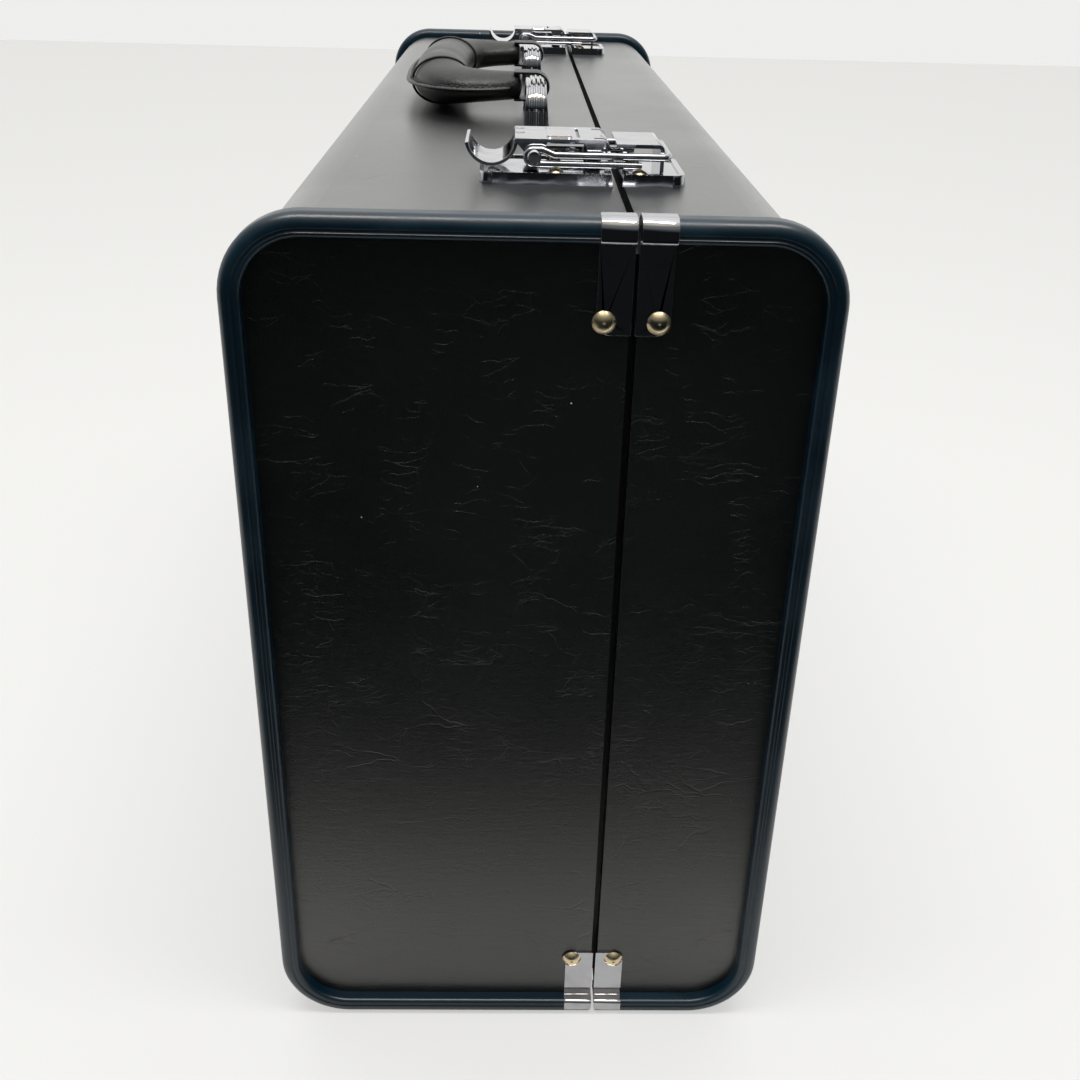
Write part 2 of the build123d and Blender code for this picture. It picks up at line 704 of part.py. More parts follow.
# Partitions of the accessory compartment
with BuildPart() as long_partition:
    add(block((-LINED_END, LINED_END), (PARTITION_Z, PARTITION_Z + PARTITION_T), PARTITION_X))
finish("long_partition", long_partition.part)

accessory_zs = (PARTITION_Z + PARTITION_T, LINED_HIGH)
with BuildPart() as cross_partitions:
    for y in CROSS_YS:
        add(block((y - CROSS_T / 2, y + CROSS_T / 2), accessory_zs, PARTITION_X))
finish("cross_partitions", cross_partitions.part)

# Saddle blocks: one under the throat of the bell, two beside the valves
lower_zs = (LINED_LOW, PARTITION_Z)


def notch_plane(y):
    """Plane across the saddle notches at one place along the case: x is X, y is Z."""
    return Plane((0, y, 0), x_dir=(1, 0, 0), z_dir=(0, -1, 0))


def saddle(y_span, notches, depth_x):
    """Block with round-bottomed notches open towards the lid; each notch is its height and radius."""
    with BuildPart() as solid:
        add(block(y_span, lower_zs, BLOCK_X))
        with BuildSketch(notch_plane(y_span[0])):
            for z, radius in notches:
                with Locations((depth_x, z)):
                    Circle(radius)
                with Locations(((depth_x + BLOCK_X) / 2 + 1, z)):
                    Rectangle(BLOCK_X - depth_x + 2, 2 * radius)
        extrude(amount=y_span[0] - y_span[1], mode=Mode.SUBTRACT)
    return solid.part


finish("bell_block", saddle(BELL_BLOCK, (BELL_NOTCH,), BLOCK_X - 0.5))
with BuildPart() as valve_blocks:
    for y_span in VALVE_BLOCKS:
        add(saddle(y_span, TUBE_NOTCHES, TUBE_X))
finish("valve_blocks", valve_blocks.part)

# Mouthpiece block with two wells
with BuildPart() as mouthpiece_block:
    add(block((CROSS_YS[1] + CROSS_T / 2, LINED_END), accessory_zs, MOUTHPIECE_X))
    for y in WELL_YS:
        with BuildSketch(Plane((MOUTHPIECE_X, y, sum(accessory_zs) / 2), z_dir=(1, 0, 0))):
            Circle(WELL_R)
        extrude(amount=-WELL_DEPTH, mode=Mode.SUBTRACT)
finish("mouthpiece_block", mouthpiece_block.part)

# Accessory flap with its pull tab and two small hinges
with BuildPart() as flap:
    middle = (FLAP_FACE_X - FLAP_T, sum(FLAP_YS) / 2, sum(FLAP_ZS) / 2)
    with BuildSketch(Plane(middle, x_dir=(0, 1, 0), z_dir=(1, 0, 0))):
        RectangleRounded(FLAP_YS[1] - FLAP_YS[0], FLAP_ZS[1] - FLAP_ZS[0], 4)
    extrude(amount=FLAP_T)
finish("accessory_flap", flap.part)

with BuildPart() as pull_tab:
    middle = (FLAP_FACE_X, sum(FLAP_YS) / 2, FLAP_ZS[0] + 2 + TAB_SIZE[1] / 2)
    with BuildSketch(Plane(middle, x_dir=(0, 1, 0), z_dir=(1, 0, 0))):
        SlotOverall(TAB_SIZE[1], TAB_SIZE[0], rotation=90)
    extrude(amount=TAB_SIZE[2])
finish("flap_pull_tab", pull_tab.part)

flap_axes = [Plane((FLAP_AXIS_X, y, FLAP_AXIS_Z)) for y in FLAP_HINGE_YS]
with BuildPart() as ceiling_leaves:
    for axis in flap_axes:
        add(hinge_leaf(axis, -1, FLAP_KNUCKLE_R, FLAP_LEAF_T, FLAP_LEAF_REACH, BODY_ROWS, FLAP_PIN_R))
finish("flap_hinge_fixed", ceiling_leaves.part)

with BuildPart() as flap_leaves:
    for axis in flap_axes:
        hung = Plane(axis.origin, x_dir=(0, 0, 1), z_dir=(-1, 0, 0))
        add(hinge_leaf(hung, -1, FLAP_KNUCKLE_R, FLAP_LEAF_T, FLAP_LEAF_REACH, LID_ROWS, FLAP_PIN_R))
finish("flap_hinge_moving", flap_leaves.part)

with BuildPart() as flap_pins:
    for axis in flap_axes:
        add(hinge_pin(axis, FLAP_PIN_R))
finish("flap_hinge_pins", flap_pins.part)
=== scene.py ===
"""Looks of a hard trumpet case: vinyl shells, chrome hardware, a leather handle and a plush inside.

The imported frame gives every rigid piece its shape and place. This script gives each of them its
finish, builds the leather and plush pieces as meshes of their own, and sets up floor, light and
camera. Everything is in metres, in the frame's own axes: X across, Y along, Z up.
"""

import logging
import math
from collections.abc import Iterable
from dataclasses import dataclass, field
from enum import Enum
from functools import cache

import bmesh
import bpy
from mathutils import Matrix, Vector, noise


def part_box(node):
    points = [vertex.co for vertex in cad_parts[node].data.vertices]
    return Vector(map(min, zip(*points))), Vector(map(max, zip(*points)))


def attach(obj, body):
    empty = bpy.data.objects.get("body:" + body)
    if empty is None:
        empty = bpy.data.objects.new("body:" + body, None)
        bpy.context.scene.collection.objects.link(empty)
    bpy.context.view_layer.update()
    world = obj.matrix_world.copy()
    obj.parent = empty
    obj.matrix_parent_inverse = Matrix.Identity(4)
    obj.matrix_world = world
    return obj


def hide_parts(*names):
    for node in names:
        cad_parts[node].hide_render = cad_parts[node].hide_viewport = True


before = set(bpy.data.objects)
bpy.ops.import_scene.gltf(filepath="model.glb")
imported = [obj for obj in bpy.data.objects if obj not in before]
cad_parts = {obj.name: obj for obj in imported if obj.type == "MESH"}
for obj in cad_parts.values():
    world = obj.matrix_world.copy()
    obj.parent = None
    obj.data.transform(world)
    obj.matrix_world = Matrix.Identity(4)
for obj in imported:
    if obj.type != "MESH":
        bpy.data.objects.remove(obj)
LOG = logging.getLogger("trumpet_case")
MM = 0.001
MERGE_DISTANCE = 1e-6
BEVEL_DEGREES = 28
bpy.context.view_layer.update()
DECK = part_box("body_wrap")[1].z


class Half(Enum):
    """The two halves of the case, by the prefix of their nodes."""

    BODY = "body"
    LID = "lid"


class End(Enum):
    """The two ends of the case, by the ending of their nodes."""

    NEAR = "near"
    FAR = "far"

    @property
    def way(self) -> int:
        """Sign of Y at this end."""
        return -1 if self is End.NEAR else 1


class Level(Enum):
    """Where a bead clip sits on its end."""

    TOP = "top"
    BASE = "base"


@dataclass
class Graph:
    """Adds nodes to a shader tree and links them.

    Args:
        tree: the node tree that is filled.
    """

    tree: bpy.types.NodeTree

    def feed(self, socket: bpy.types.NodeSocket, value: object) -> None:
        """Link a socket to an input, or set the input's own value.

        Args:
            socket: the input to feed.
            value: an output socket, or a plain value.
        """
        if isinstance(value, bpy.types.NodeSocket):
            self.tree.links.new(value, socket)
        else:
            socket.default_value = value

    def add(self, kind: str, inputs: dict | None = None, **settings: object) -> bpy.types.Node:
        """Add a node.

        Args:
            kind: Blender's type name of the node.
            inputs: values or output sockets for its inputs, by name or number.
            settings: properties of the node itself.

        Returns:
            The new node.
        """
        node = self.tree.nodes.new(kind)
        for name, value in settings.items():
            setattr(node, name, value)
        for name, value in (inputs or {}).items():
            self.feed(node.inputs[name], value)
        return node

    def calc(self, operation: str, *values: object) -> bpy.types.NodeSocket:
        """Add a Math node and return its output.

        Args:
            operation: the node's operation, such as MULTIPLY.
            values: its inputs in order.

        Returns:
            The result's socket.
        """
        node = self.add("ShaderNodeMath", operation=operation)
        for socket, value in zip(node.inputs, values):
            self.feed(socket, value)
        return node.outputs[0]

    def remap(
        self, value: object, low: float, high: float, start: float = 0.0, end: float = 1.0
    ) -> bpy.types.NodeSocket:
        """Smoothly remap a value from one range to another.

        Args:
            value: the socket to remap.
            low: input value that gives start.
            high: input value that gives end.
            start: output at low.
            end: output at high.

        Returns:
            The remapped socket, held between start and end.
        """
        names = ("Value", "From Min", "From Max", "To Min", "To Max")
        node = self.add("ShaderNodeMapRange", interpolation_type="SMOOTHSTEP")
        for name, number in zip(names, (value, low, high, start, end)):
            self.feed(node.inputs[name], number)
        return node.outputs["Result"]

    def mix(self, share: object, first: object, second: object) -> bpy.types.NodeSocket:
        """Mix two colours.

        Args:
            share: how much of the second colour, from 0 to 1.
            first: colour at 0.
            second: colour at 1.

        Returns:
            The mixed colour's socket.
        """
        node = self.add("ShaderNodeMix", data_type="RGBA")
        for number, value in ((0, share), (6, first), (7, second)):
            self.feed(node.inputs[number], value)
        return node.outputs[2]

    def noise(self, vector: object, scale: float, detail: float = 3.0) -> bpy.types.NodeSocket:
        """Noise texture's factor.

        Args:
            vector: coordinates.
            scale: features per unit of the coordinates.
            detail: octaves.

        Returns:
            The factor's socket.
        """
        inputs = {"Vector": vector, "Scale": scale, "Detail": detail, "Roughness": 0.55}
        return self.add("ShaderNodeTexNoise", inputs).outputs[0]

    def warp(self, vector: object, scale: float, detail: float, reach: float) -> bpy.types.NodeSocket:
        """Push coordinates about with noise, so that a pattern on them isn't regular.

        Args:
            vector: coordinates.
            scale: waves per unit of the coordinates.
            detail: octaves.
            reach: how far a point moves at most.

        Returns:
            The warped coordinates' socket.
        """
        bend = self.add("ShaderNodeTexNoise", {"Vector": vector, "Scale": scale, "Detail": detail})
        push = self.add("ShaderNodeVectorMath", {0: bend.outputs["Color"], "Scale": reach}, operation="SCALE")
        inputs = {0: vector, 1: push.outputs[0]}
        return self.add("ShaderNodeVectorMath", inputs, operation="ADD").outputs[0]

    def stretch(self, vector: object, scale: tuple, turn: tuple = (0, 0, 0)) -> bpy.types.NodeSocket:
        """Scale and turn coordinates with a Mapping node.

        Args:
            vector: coordinates.
            scale: factor on each axis.
            turn: angles about the axes in radians.

        Returns:
            The mapped coordinates' socket.
        """
        inputs = {"Vector": vector, "Scale": scale, "Rotation": turn}
        return self.add("ShaderNodeMapping", inputs).outputs[0]


def color(values: tuple[float, float, float]) -> tuple[float, float, float, float]:
    """Colour with full alpha."""
    return (*values, 1.0)


@dataclass(frozen=True)
class CreaseLayer:
    """One family of creases.

    Args:
        scale: cells per metre along each axis; the creases run where it is smallest.
        turn: how the cells are turned, in radians.
        strength: height of its creases, or None for the group's own value for slanted ones.
        patch: how many patches of creases there are to a metre.
        rarity: how much of the surface has none, on the scale of the noise.
        fade: how soon a patch reaches its full strength, on the same scale.
    """

    scale: tuple[float, float, float]
    turn: tuple[float, float, float]
    strength: float | None
    patch: float
    rarity: float
    fade: float = 0.12


CREASES = (
    CreaseLayer((30, 36, 90), (0, 0.05, 0), 0.8, 60.0, 0.53),
    CreaseLayer((70, 80, 250), (0, -0.06, 0), 0.6, 85.0, 0.5),
    CreaseLayer((18, 20, 70), (0, 0.7, 0.2), None, 42.0, 0.55),
    CreaseLayer((16, 20, 60), (0, -0.85, -0.2), None, 30.0, 0.57),
)


class Effects:
    """Shader node groups that several finishes share, each built once."""

    @staticmethod
    def open_group(name: str, outputs: tuple[str, ...], **inputs: float) -> tuple[Graph, dict, dict]:
        """Start a node group that reads coordinates and some numbers.

        Args:
            name: the group's name.
            outputs: names of its number outputs.
            inputs: names of its number inputs, with their defaults.

        Returns:
            The graph inside, its inputs by name and its output node's inputs by name.
        """
        tree = bpy.data.node_groups.new(name, "ShaderNodeTree")
        tree.interface.new_socket("Vector", in_out="INPUT", socket_type="NodeSocketVector")
        for label, default in inputs.items():
            socket = tree.interface.new_socket(label, in_out="INPUT", socket_type="NodeSocketFloat")
            socket.default_value = default
        for label in outputs:
            tree.interface.new_socket(label, in_out="OUTPUT", socket_type="NodeSocketFloat")
        graph = Graph(tree)
        entry = graph.add("NodeGroupInput")
        leave = graph.add("NodeGroupOutput")
        return graph, dict(entry.outputs.items()), dict(leave.inputs.items())

    @staticmethod
    @cache
    def creases() -> bpy.types.NodeTree:
        """Thin broken creases of cover material: short level ones, and longer slanted ones.

        Returns:
            The group; Height is 1 in a crease's middle, and Tone varies slowly over the surface.
        """
        graph, given, out = Effects.open_group("vinyl creases", ("Height", "Tone"), Width=0.022, Slanted=1.0)
        place = graph.warp(given["Vector"], scale=75.0, detail=4.0, reach=0.011)
        lines = []
        for number, layer in enumerate(CREASES):
            inputs = {"Vector": graph.stretch(place, layer.scale, layer.turn), "Scale": 1.0}
            cells = graph.add("ShaderNodeTexVoronoi", inputs, feature="DISTANCE_TO_EDGE")
            line = graph.remap(cells.outputs["Distance"], 0.0, given["Width"], 1.0, 0.0)
            moved = graph.add("ShaderNodeVectorMath", {0: place, 1: (number * 3.1, 1.7, 0)}, operation="ADD")
            patches = graph.noise(moved.outputs[0], layer.patch, 4.0)
            where = graph.remap(patches, layer.rarity, layer.rarity + layer.fade)
            strength = given["Slanted"] if layer.strength is None else layer.strength
            lines.append(graph.calc("MULTIPLY", graph.calc("MULTIPLY", line, where), strength))
        height = lines[0]
        for line in lines[1:]:
            height = graph.calc("MAXIMUM", height, line)
        graph.feed(out["Height"], height)
        graph.feed(out["Tone"], graph.remap(graph.noise(given["Vector"], 7.0, 3.0), 0.3, 0.7))
        return graph.tree

    @staticmethod
    @cache
    def pebbles() -> bpy.types.NodeTree:
        """Fine pebble grain of leather and leather cloth.

        Returns:
            The group; Height falls to 0 in the valleys between pebbles.
        """
        graph, given, out = Effects.open_group("pebble grain", ("Height",), Cells=900.0)
        place = graph.warp(given["Vector"], scale=160.0, detail=2.0, reach=0.0015)
        inputs = {"Vector": place, "Scale": given["Cells"]}
        cells = graph.add("ShaderNodeTexVoronoi", inputs, feature="DISTANCE_TO_EDGE")
        graph.feed(out["Height"], graph.remap(cells.outputs["Distance"], 0.0, 0.16))
        return graph.tree

    @staticmethod
    @cache
    def specks() -> bpy.types.NodeTree:
        """Sparse specks, such as dust or tiny pits.

        Returns:
            The group; Mask is 1 on a speck.
        """
        graph, given, out = Effects.open_group("specks", ("Mask",), Cells=60.0, Radius=0.03)
        inputs = {"Vector": given["Vector"], "Scale": given["Cells"]}
        cells = graph.add("ShaderNodeTexVoronoi", inputs)
        share = graph.calc("DIVIDE", cells.outputs["Distance"], given["Radius"])
        graph.feed(out["Mask"], graph.remap(share, 0.7, 1.0, 1.0, 0.0))
        return graph.tree

    @staticmethod
    @cache
    def smudges() -> bpy.types.NodeTree:
        """Soft patches of handling on a glossy surface, with hairline scratches.

        Returns:
            The group; Patch varies from 0 to 1, and Scratch is 1 on a scratch.
        """
        graph, given, out = Effects.open_group("smudges", ("Patch", "Scratch"), Scale=90.0)
        place = given["Vector"]
        patch = graph.add("ShaderNodeTexNoise", {"Vector": place, "Scale": given["Scale"], "Detail": 4.0})
        graph.feed(out["Patch"], graph.remap(patch.outputs[0], 0.4, 0.72))
        drawn = graph.noise(graph.stretch(place, (90, 90, 900), (0.4, 0.6, 0.2)), 1.0, 1.0)
        off = graph.calc("ABSOLUTE", graph.calc("SUBTRACT", drawn, 0.5))
        where = graph.remap(graph.noise(place, 70.0, 2.0), 0.55, 0.7)
        graph.feed(out["Scratch"], graph.calc("MULTIPLY", graph.remap(off, 0.0, 0.006, 1.0, 0.0), where))
        return graph.tree

    @staticmethod
    @cache
    def dimple() -> bpy.types.NodeTree:
        """One round dimple pressed into a level sheet, at a place given in metres.

        Returns:
            The group; Height falls to -1 on the dimple's floor.
        """
        inputs = {"X": 0.0, "Y": 0.0, "Radius": 0.002}
        graph, given, out = Effects.open_group("pressed dimple", ("Height",), **inputs)
        parts = graph.add("ShaderNodeSeparateXYZ", {0: given["Vector"]}).outputs
        off = [graph.calc("SUBTRACT", parts[axis], given[label]) for axis, label in enumerate("XY")]
        squares = [graph.calc("MULTIPLY", value, value) for value in off]
        away = graph.calc("SQRT", graph.calc("ADD", *squares))
        share = graph.calc("DIVIDE", away, given["Radius"])
        graph.feed(out["Height"], graph.remap(share, 0.35, 1.0, -1.0, 0.0))
        return graph.tree

    @staticmethod
    @cache
    def pile() -> bpy.types.NodeTree:
        """Short plush pile, brushed in patches.

        Returns:
            The group; Height is the tufts, and Shade the brushed patches.
        """
        graph, given, out = Effects.open_group("plush pile", ("Height", "Shade"), Tufts=1500.0)
        place = given["Vector"]
        tufts = graph.add("ShaderNodeTexNoise", {"Vector": place, "Scale": given["Tufts"], "Detail": 2.0})
        clumps = graph.noise(graph.stretch(place, (260, 420, 300), (0.3, 0.2, 0.5)), 1.0, 3.0)
        graph.feed(out["Height"], graph.calc("ADD", tufts.outputs[0], clumps))
        brushed = graph.noise(graph.stretch(place, (14, 22, 17), (0.2, 0.5, 0.8)), 1.0, 4.0)
        graph.feed(out["Shade"], graph.remap(brushed, 0.35, 0.68))
        return graph.tree


@dataclass(frozen=True)
class Finish:
    """What every finish has.

    Args:
        name: the material's name.
        slot: the slot that pieces in this finish belong to; not used.
        tint: base colour.
        roughness: roughness of the clean surface.
    """

    name: str
    slot: str
    tint: tuple[float, float, float]
    roughness: float

    def material(self) -> bpy.types.Material:
        """The finish's material, made at its first use.

        Returns:
            The material, with its nodes linked to a Principled shader.
        """
        if self.name in bpy.data.materials:
            return bpy.data.materials[self.name]
        made = bpy.data.materials.new(self.name)
        made.use_nodes = True
        made.node_tree.nodes.clear()
        graph = Graph(made.node_tree)
        shader = graph.add("ShaderNodeBsdfPrincipled", {"Base Color": color(self.tint)})
        shader.inputs["Roughness"].default_value = self.roughness
        output = graph.add("ShaderNodeOutputMaterial")
        graph.feed(output.inputs["Surface"], shader.outputs[0])
        place = graph.add("ShaderNodeTexCoord").outputs["Object"]
        self.fill(graph, shader, place)
        made.diffuse_color = color(self.tint)
        return made

    def fill(self, graph: Graph, shader: bpy.types.Node, place: bpy.types.NodeSocket) -> None:
        """Add what is particular to the finish.

        Args:
            graph: the material's graph.
            shader: its Principled shader.
            place: object coordinates.
        """

    def mottle(
        self, graph: Graph, share: object, factor: float, lift: float = 0.0
    ) -> bpy.types.NodeSocket:
        """Vary the base colour over the surface.

        Args:
            graph: the material's graph.
            share: how much of the other colour, from 0 to 1.
            factor: the other colour as a multiple of the base colour.
            lift: what is added to it besides.

        Returns:
            The mixed colour's socket.
        """
        other = tuple(channel * factor + lift for channel in self.tint)
        return graph.mix(share, color(self.tint), color(other))

    @staticmethod
    def effect(graph: Graph, group: bpy.types.NodeTree, place: object, **inputs: float) -> bpy.types.Node:
        """Place a shared effect in a material.

        Args:
            graph: the material's graph.
            group: one of the shared groups.
            place: coordinates.
            inputs: this material's own values for the group.

        Returns:
            The group's node.
        """
        return graph.add("ShaderNodeGroup", {"Vector": place, **inputs}, node_tree=group)

    @staticmethod
    def raise_surface(graph: Graph, shader: bpy.types.Node, *layers: tuple[object, float]) -> None:
        """Chain bumps into the shader's normal.

        Args:
            graph: the material's graph.
            shader: its Principled shader.
            layers: pairs of a height socket and the depth in metres that it stands for.
        """
        normal = None
        for height, depth in layers:
            bump = graph.add("ShaderNodeBump", {"Height": height, "Distance": depth, "Strength": 1.0})
            if normal is not None:
                graph.feed(bump.inputs["Normal"], normal)
            normal = bump.outputs[0]
        graph.feed(shader.inputs["Normal"], normal)


@dataclass(frozen=True)
class VinylFinish(Finish):
    """Leather-grain vinyl: creases, fine pebbles, dust.

    Args:
        crease_depth: depth of the creases in metres.
        texture_depth: depth of the fine level texture in metres.
        grain_depth: depth of the pebbles in metres.
        grain_cells: pebbles per metre.
        dust: radius of the dust specks, as a share of their spacing.
        dust_tint: their colour.
        coat: how much of a second gloss layer lies on top.
        crease_highlight_and_wear: how much paler a crease is. This paleness is a painted highlight of the
            light that the creases catch, together with their wear.
        crease_highlight_and_wear_tint: colour of a crease at its palest, as painted highlight and wear.
    """

    crease_depth: float = 0.00012
    texture_depth: float = 0.00011
    grain_depth: float = 0.00003
    grain_cells: float = 1000.0
    dust: float = 0.022
    dust_tint: tuple[float, float, float] = (0.55, 0.55, 0.55)
    coat: float = 0.8
    crease_highlight_and_wear: float = 0.06
    crease_highlight_and_wear_tint: tuple[float, float, float] = (0.03, 0.03, 0.03)

    def fill(self, graph: Graph, shader: bpy.types.Node, place: bpy.types.NodeSocket) -> None:
        """Creases and pebbles in the normal; dust, slow tone changes and a painted highlight along the
        creases in the colour.

        Args:
            graph: the material's graph.
            shader: its Principled shader.
            place: object coordinates.
        """
        creases = self.effect(graph, Effects.creases(), place)
        pebbles = self.effect(graph, Effects.pebbles(), place, Cells=self.grain_cells)
        dust = self.effect(graph, Effects.specks(), place, Radius=self.dust)
        tone = self.mottle(graph, creases.outputs["Tone"], 1.5, 0.0006)
        # Painted highlight, partly wear: the creases are made paler in the base colour.
        crease_highlight_and_wear = graph.calc("MULTIPLY", creases.outputs["Height"], self.crease_highlight_and_wear)
        worn = graph.mix(crease_highlight_and_wear, tone, color(self.crease_highlight_and_wear_tint))
        graph.feed(shader.inputs["Base Color"], graph.mix(dust.outputs["Mask"], worn, color(self.dust_tint)))
        rough = graph.remap(creases.outputs["Tone"], 0.0, 1.0, self.roughness - 0.03, self.roughness + 0.05)
        graph.feed(shader.inputs["Roughness"], rough)
        shader.inputs["Coat Weight"].default_value = self.coat
        shader.inputs["Coat Roughness"].default_value = self.roughness
        sunk = graph.calc("MULTIPLY", creases.outputs["Height"], -1.0)
        weave = graph.noise(graph.stretch(place, (120, 120, 720)), 1.0, 4.0)
        self.raise_surface(
            graph,
            shader,
            (sunk, self.crease_depth),
            (weave, self.texture_depth),
            (pebbles.outputs["Height"], self.grain_depth),
        )


@dataclass(frozen=True)
class BeadFinish(Finish):
    """Smooth extruded welt: faint extrusion ripple, smudges and dust.

    Args:
        dust: radius of the dust specks, as a share of their spacing.
        dust_tint: their colour.
        peel_depth: depth of its orange peel in metres.
    """

    dust: float = 0.026
    dust_tint: tuple[float, float, float] = (0.5, 0.5, 0.5)
    peel_depth: float = 0.00003

    def fill(self, graph: Graph, shader: bpy.types.Node, place: bpy.types.NodeSocket) -> None:
        """Patchy gloss, a few dust specks and a fine orange peel.

        Args:
            graph: the material's graph.
            shader: its Principled shader.
            place: object coordinates.
        """
        smudges = self.effect(graph, Effects.smudges(), place, Scale=45.0)
        dust = self.effect(graph, Effects.specks(), place, Radius=self.dust)
        rough = graph.remap(smudges.outputs["Patch"], 0.0, 1.0, self.roughness, self.roughness + 0.1)
        graph.feed(shader.inputs["Roughness"], rough)
        tone = self.mottle(graph, smudges.outputs["Patch"], 1.6)
        graph.feed(shader.inputs["Base Color"], graph.mix(dust.outputs["Mask"], tone, color(self.dust_tint)))
        self.raise_surface(graph, shader, (graph.noise(place, 700.0, 3.0), self.peel_depth))


@dataclass(frozen=True)
class MetalFinish(Finish):
    """Plated or solid metal.

    Args:
        haze: how much rougher the metal is where it was handled.
        ripple: depth of the pressing's unevenness in metres.
        grain: lines of a brushed grain to a metre, or 0 for none.
        grain_depth: their depth in metres.
        dimples: places of round dimples in a level sheet, across and along the case, in metres.
        dimple_depth: their depth in metres.
    """

    haze: float = 0.08
    ripple: float = 0.00002
    grain: float = 0.0
    grain_depth: float = 0.00002
    dimples: tuple[tuple[float, float], ...] = ()
    dimple_depth: float = 0.0003

    def fill(self, graph: Graph, shader: bpy.types.Node, place: bpy.types.NodeSocket) -> None:
        """Metallic shader with handled patches, hairline scratches and a slight ripple.

        Args:
            graph: the material's graph.
            shader: its Principled shader.
            place: object coordinates.
        """
        shader.inputs["Metallic"].default_value = 1.0
        smudges = self.effect(graph, Effects.smudges(), place, Scale=120.0)
        worn = graph.calc("MAXIMUM", smudges.outputs["Patch"], smudges.outputs["Scratch"])
        rough = graph.remap(worn, 0.0, 1.0, self.roughness, self.roughness + self.haze)
        graph.feed(shader.inputs["Roughness"], rough)
        graph.feed(shader.inputs["Base Color"], self.mottle(graph, worn, 0.86))
        wave = graph.noise(place, 180.0, 1.0)
        layers = [(wave, self.ripple)]
        if self.grain:
            brushed = graph.stretch(place, (self.grain, 60, self.grain))
            layers.append((graph.noise(brushed, 1.0, 2.0), self.grain_depth))
        for across, along in self.dimples:
            pressed = self.effect(graph, Effects.dimple(), place, X=across, Y=along)
            layers.append((pressed.outputs["Height"], self.dimple_depth))
        self.raise_surface(graph, shader, *layers)


@dataclass(frozen=True)
class LeatherFinish(Finish):
    """Grained leather of the handle and the pull tab.

    Args:
        coat: how much of a second gloss layer lies on top.
        coat_roughness: its roughness.
        grain_cells: pebbles per metre.
        grain_depth: their depth in metres.
        fold_depth: depth of the soft folds in metres.
    """

    coat: float = 0.1
    coat_roughness: float = 0.3
    grain_cells: float = 750.0
    grain_depth: float = 0.00006
    fold_depth: float = 0.0004

    def fill(self, graph: Graph, shader: bpy.types.Node, place: bpy.types.NodeSocket) -> None:
        """Pebbles and soft folds in the normal, burnished patches in colour and gloss.

        Args:
            graph: the material's graph.
            shader: its Principled shader.
            place: object coordinates.
        """
        shader.inputs["Coat Weight"].default_value = self.coat
        shader.inputs["Coat Roughness"].default_value = self.coat_roughness
        pebbles = self.effect(graph, Effects.pebbles(), place, Cells=self.grain_cells)
        folds = graph.noise(graph.stretch(place, (90, 45, 90)), 1.0, 4.0)
        patches = graph.remap(graph.noise(place, 30.0, 3.0), 0.35, 0.65)
        graph.feed(shader.inputs["Base Color"], self.mottle(graph, patches, 1.7))
        rough = graph.remap(patches, 0, 1, self.roughness, self.roughness + 0.1)
        graph.feed(shader.inputs["Roughness"], rough)
        grain = (pebbles.outputs["Height"], self.grain_depth)
        self.raise_surface(graph, shader, (folds, self.fold_depth), grain)


@dataclass(frozen=True)
class PlushFinish(Finish):
    """Short plush over foam: tufts, brushed patches and a soft sheen.

    Args:
        sheen: weight of the sheen.
        sheen_roughness: its roughness.
        sheen_tint: its colour.
        gloss: how much of the plain gloss is left.
        pile_depth: depth of the pile in metres.
    """

    sheen: float = 0.6
    sheen_roughness: float = 0.45
    sheen_tint: tuple[float, float, float] = (0.9, 0.55, 0.6)
    gloss: float = 0.15
    pile_depth: float = 0.0007

    def fill(self, graph: Graph, shader: bpy.types.Node, place: bpy.types.NodeSocket) -> None:
        """Tufts in the normal, brushed patches in the colour.

        Args:
            graph: the material's graph.
            shader: its Principled shader.
            place: object coordinates.
        """
        pile = self.effect(graph, Effects.pile(), place)
        graph.feed(shader.inputs["Base Color"], self.mottle(graph, pile.outputs["Shade"], 1.9, 0.004))
        shader.inputs["Sheen Weight"].default_value = self.sheen
        shader.inputs["Sheen Roughness"].default_value = self.sheen_roughness
        shader.inputs["Sheen Tint"].default_value = color(self.sheen_tint)
        shader.inputs["Specular IOR Level"].default_value = self.gloss
        self.raise_surface(graph, shader, (pile.outputs["Height"], self.pile_depth))


@dataclass(frozen=True)
class PaintFinish(Finish):
    """Black paint over wood, whose grain shows through a little.

    Args:
        grain_depth: depth of the grain in metres.
    """

    grain_depth: float = 0.00012

    def fill(self, graph: Graph, shader: bpy.types.Node, place: bpy.types.NodeSocket) -> None:
        """Long grain in the normal and the colour.

        Args:
            graph: the material's graph.
            shader: its Principled shader.
            place: object coordinates.
        """
        grain = graph.noise(graph.stretch(place, (260, 9, 260)), 1.0, 4.0)
        graph.feed(shader.inputs["Base Color"], self.mottle(graph, grain, 1.8))
        self.raise_surface(graph, shader, (grain, self.grain_depth))


@dataclass(frozen=True)
class ThreadFinish(Finish):
    """Waxed thread.

    Args:
        twist_depth: depth of its twist in metres.
    """

    twist_depth: float = 0.0001

    def fill(self, graph: Graph, shader: bpy.types.Node, place: bpy.types.NodeSocket) -> None:
        """Twist of the thread in the normal.

        Args:
            graph: the material's graph.
            shader: its Principled shader.
            place: object coordinates.
        """
        twist = graph.noise(graph.stretch(place, (2200, 2200, 900), (0.5, 0.5, 0)), 1.0, 2.0)
        graph.feed(shader.inputs["Base Color"], self.mottle(graph, twist, 1.5))
        self.raise_surface(graph, shader, (twist, self.twist_depth))


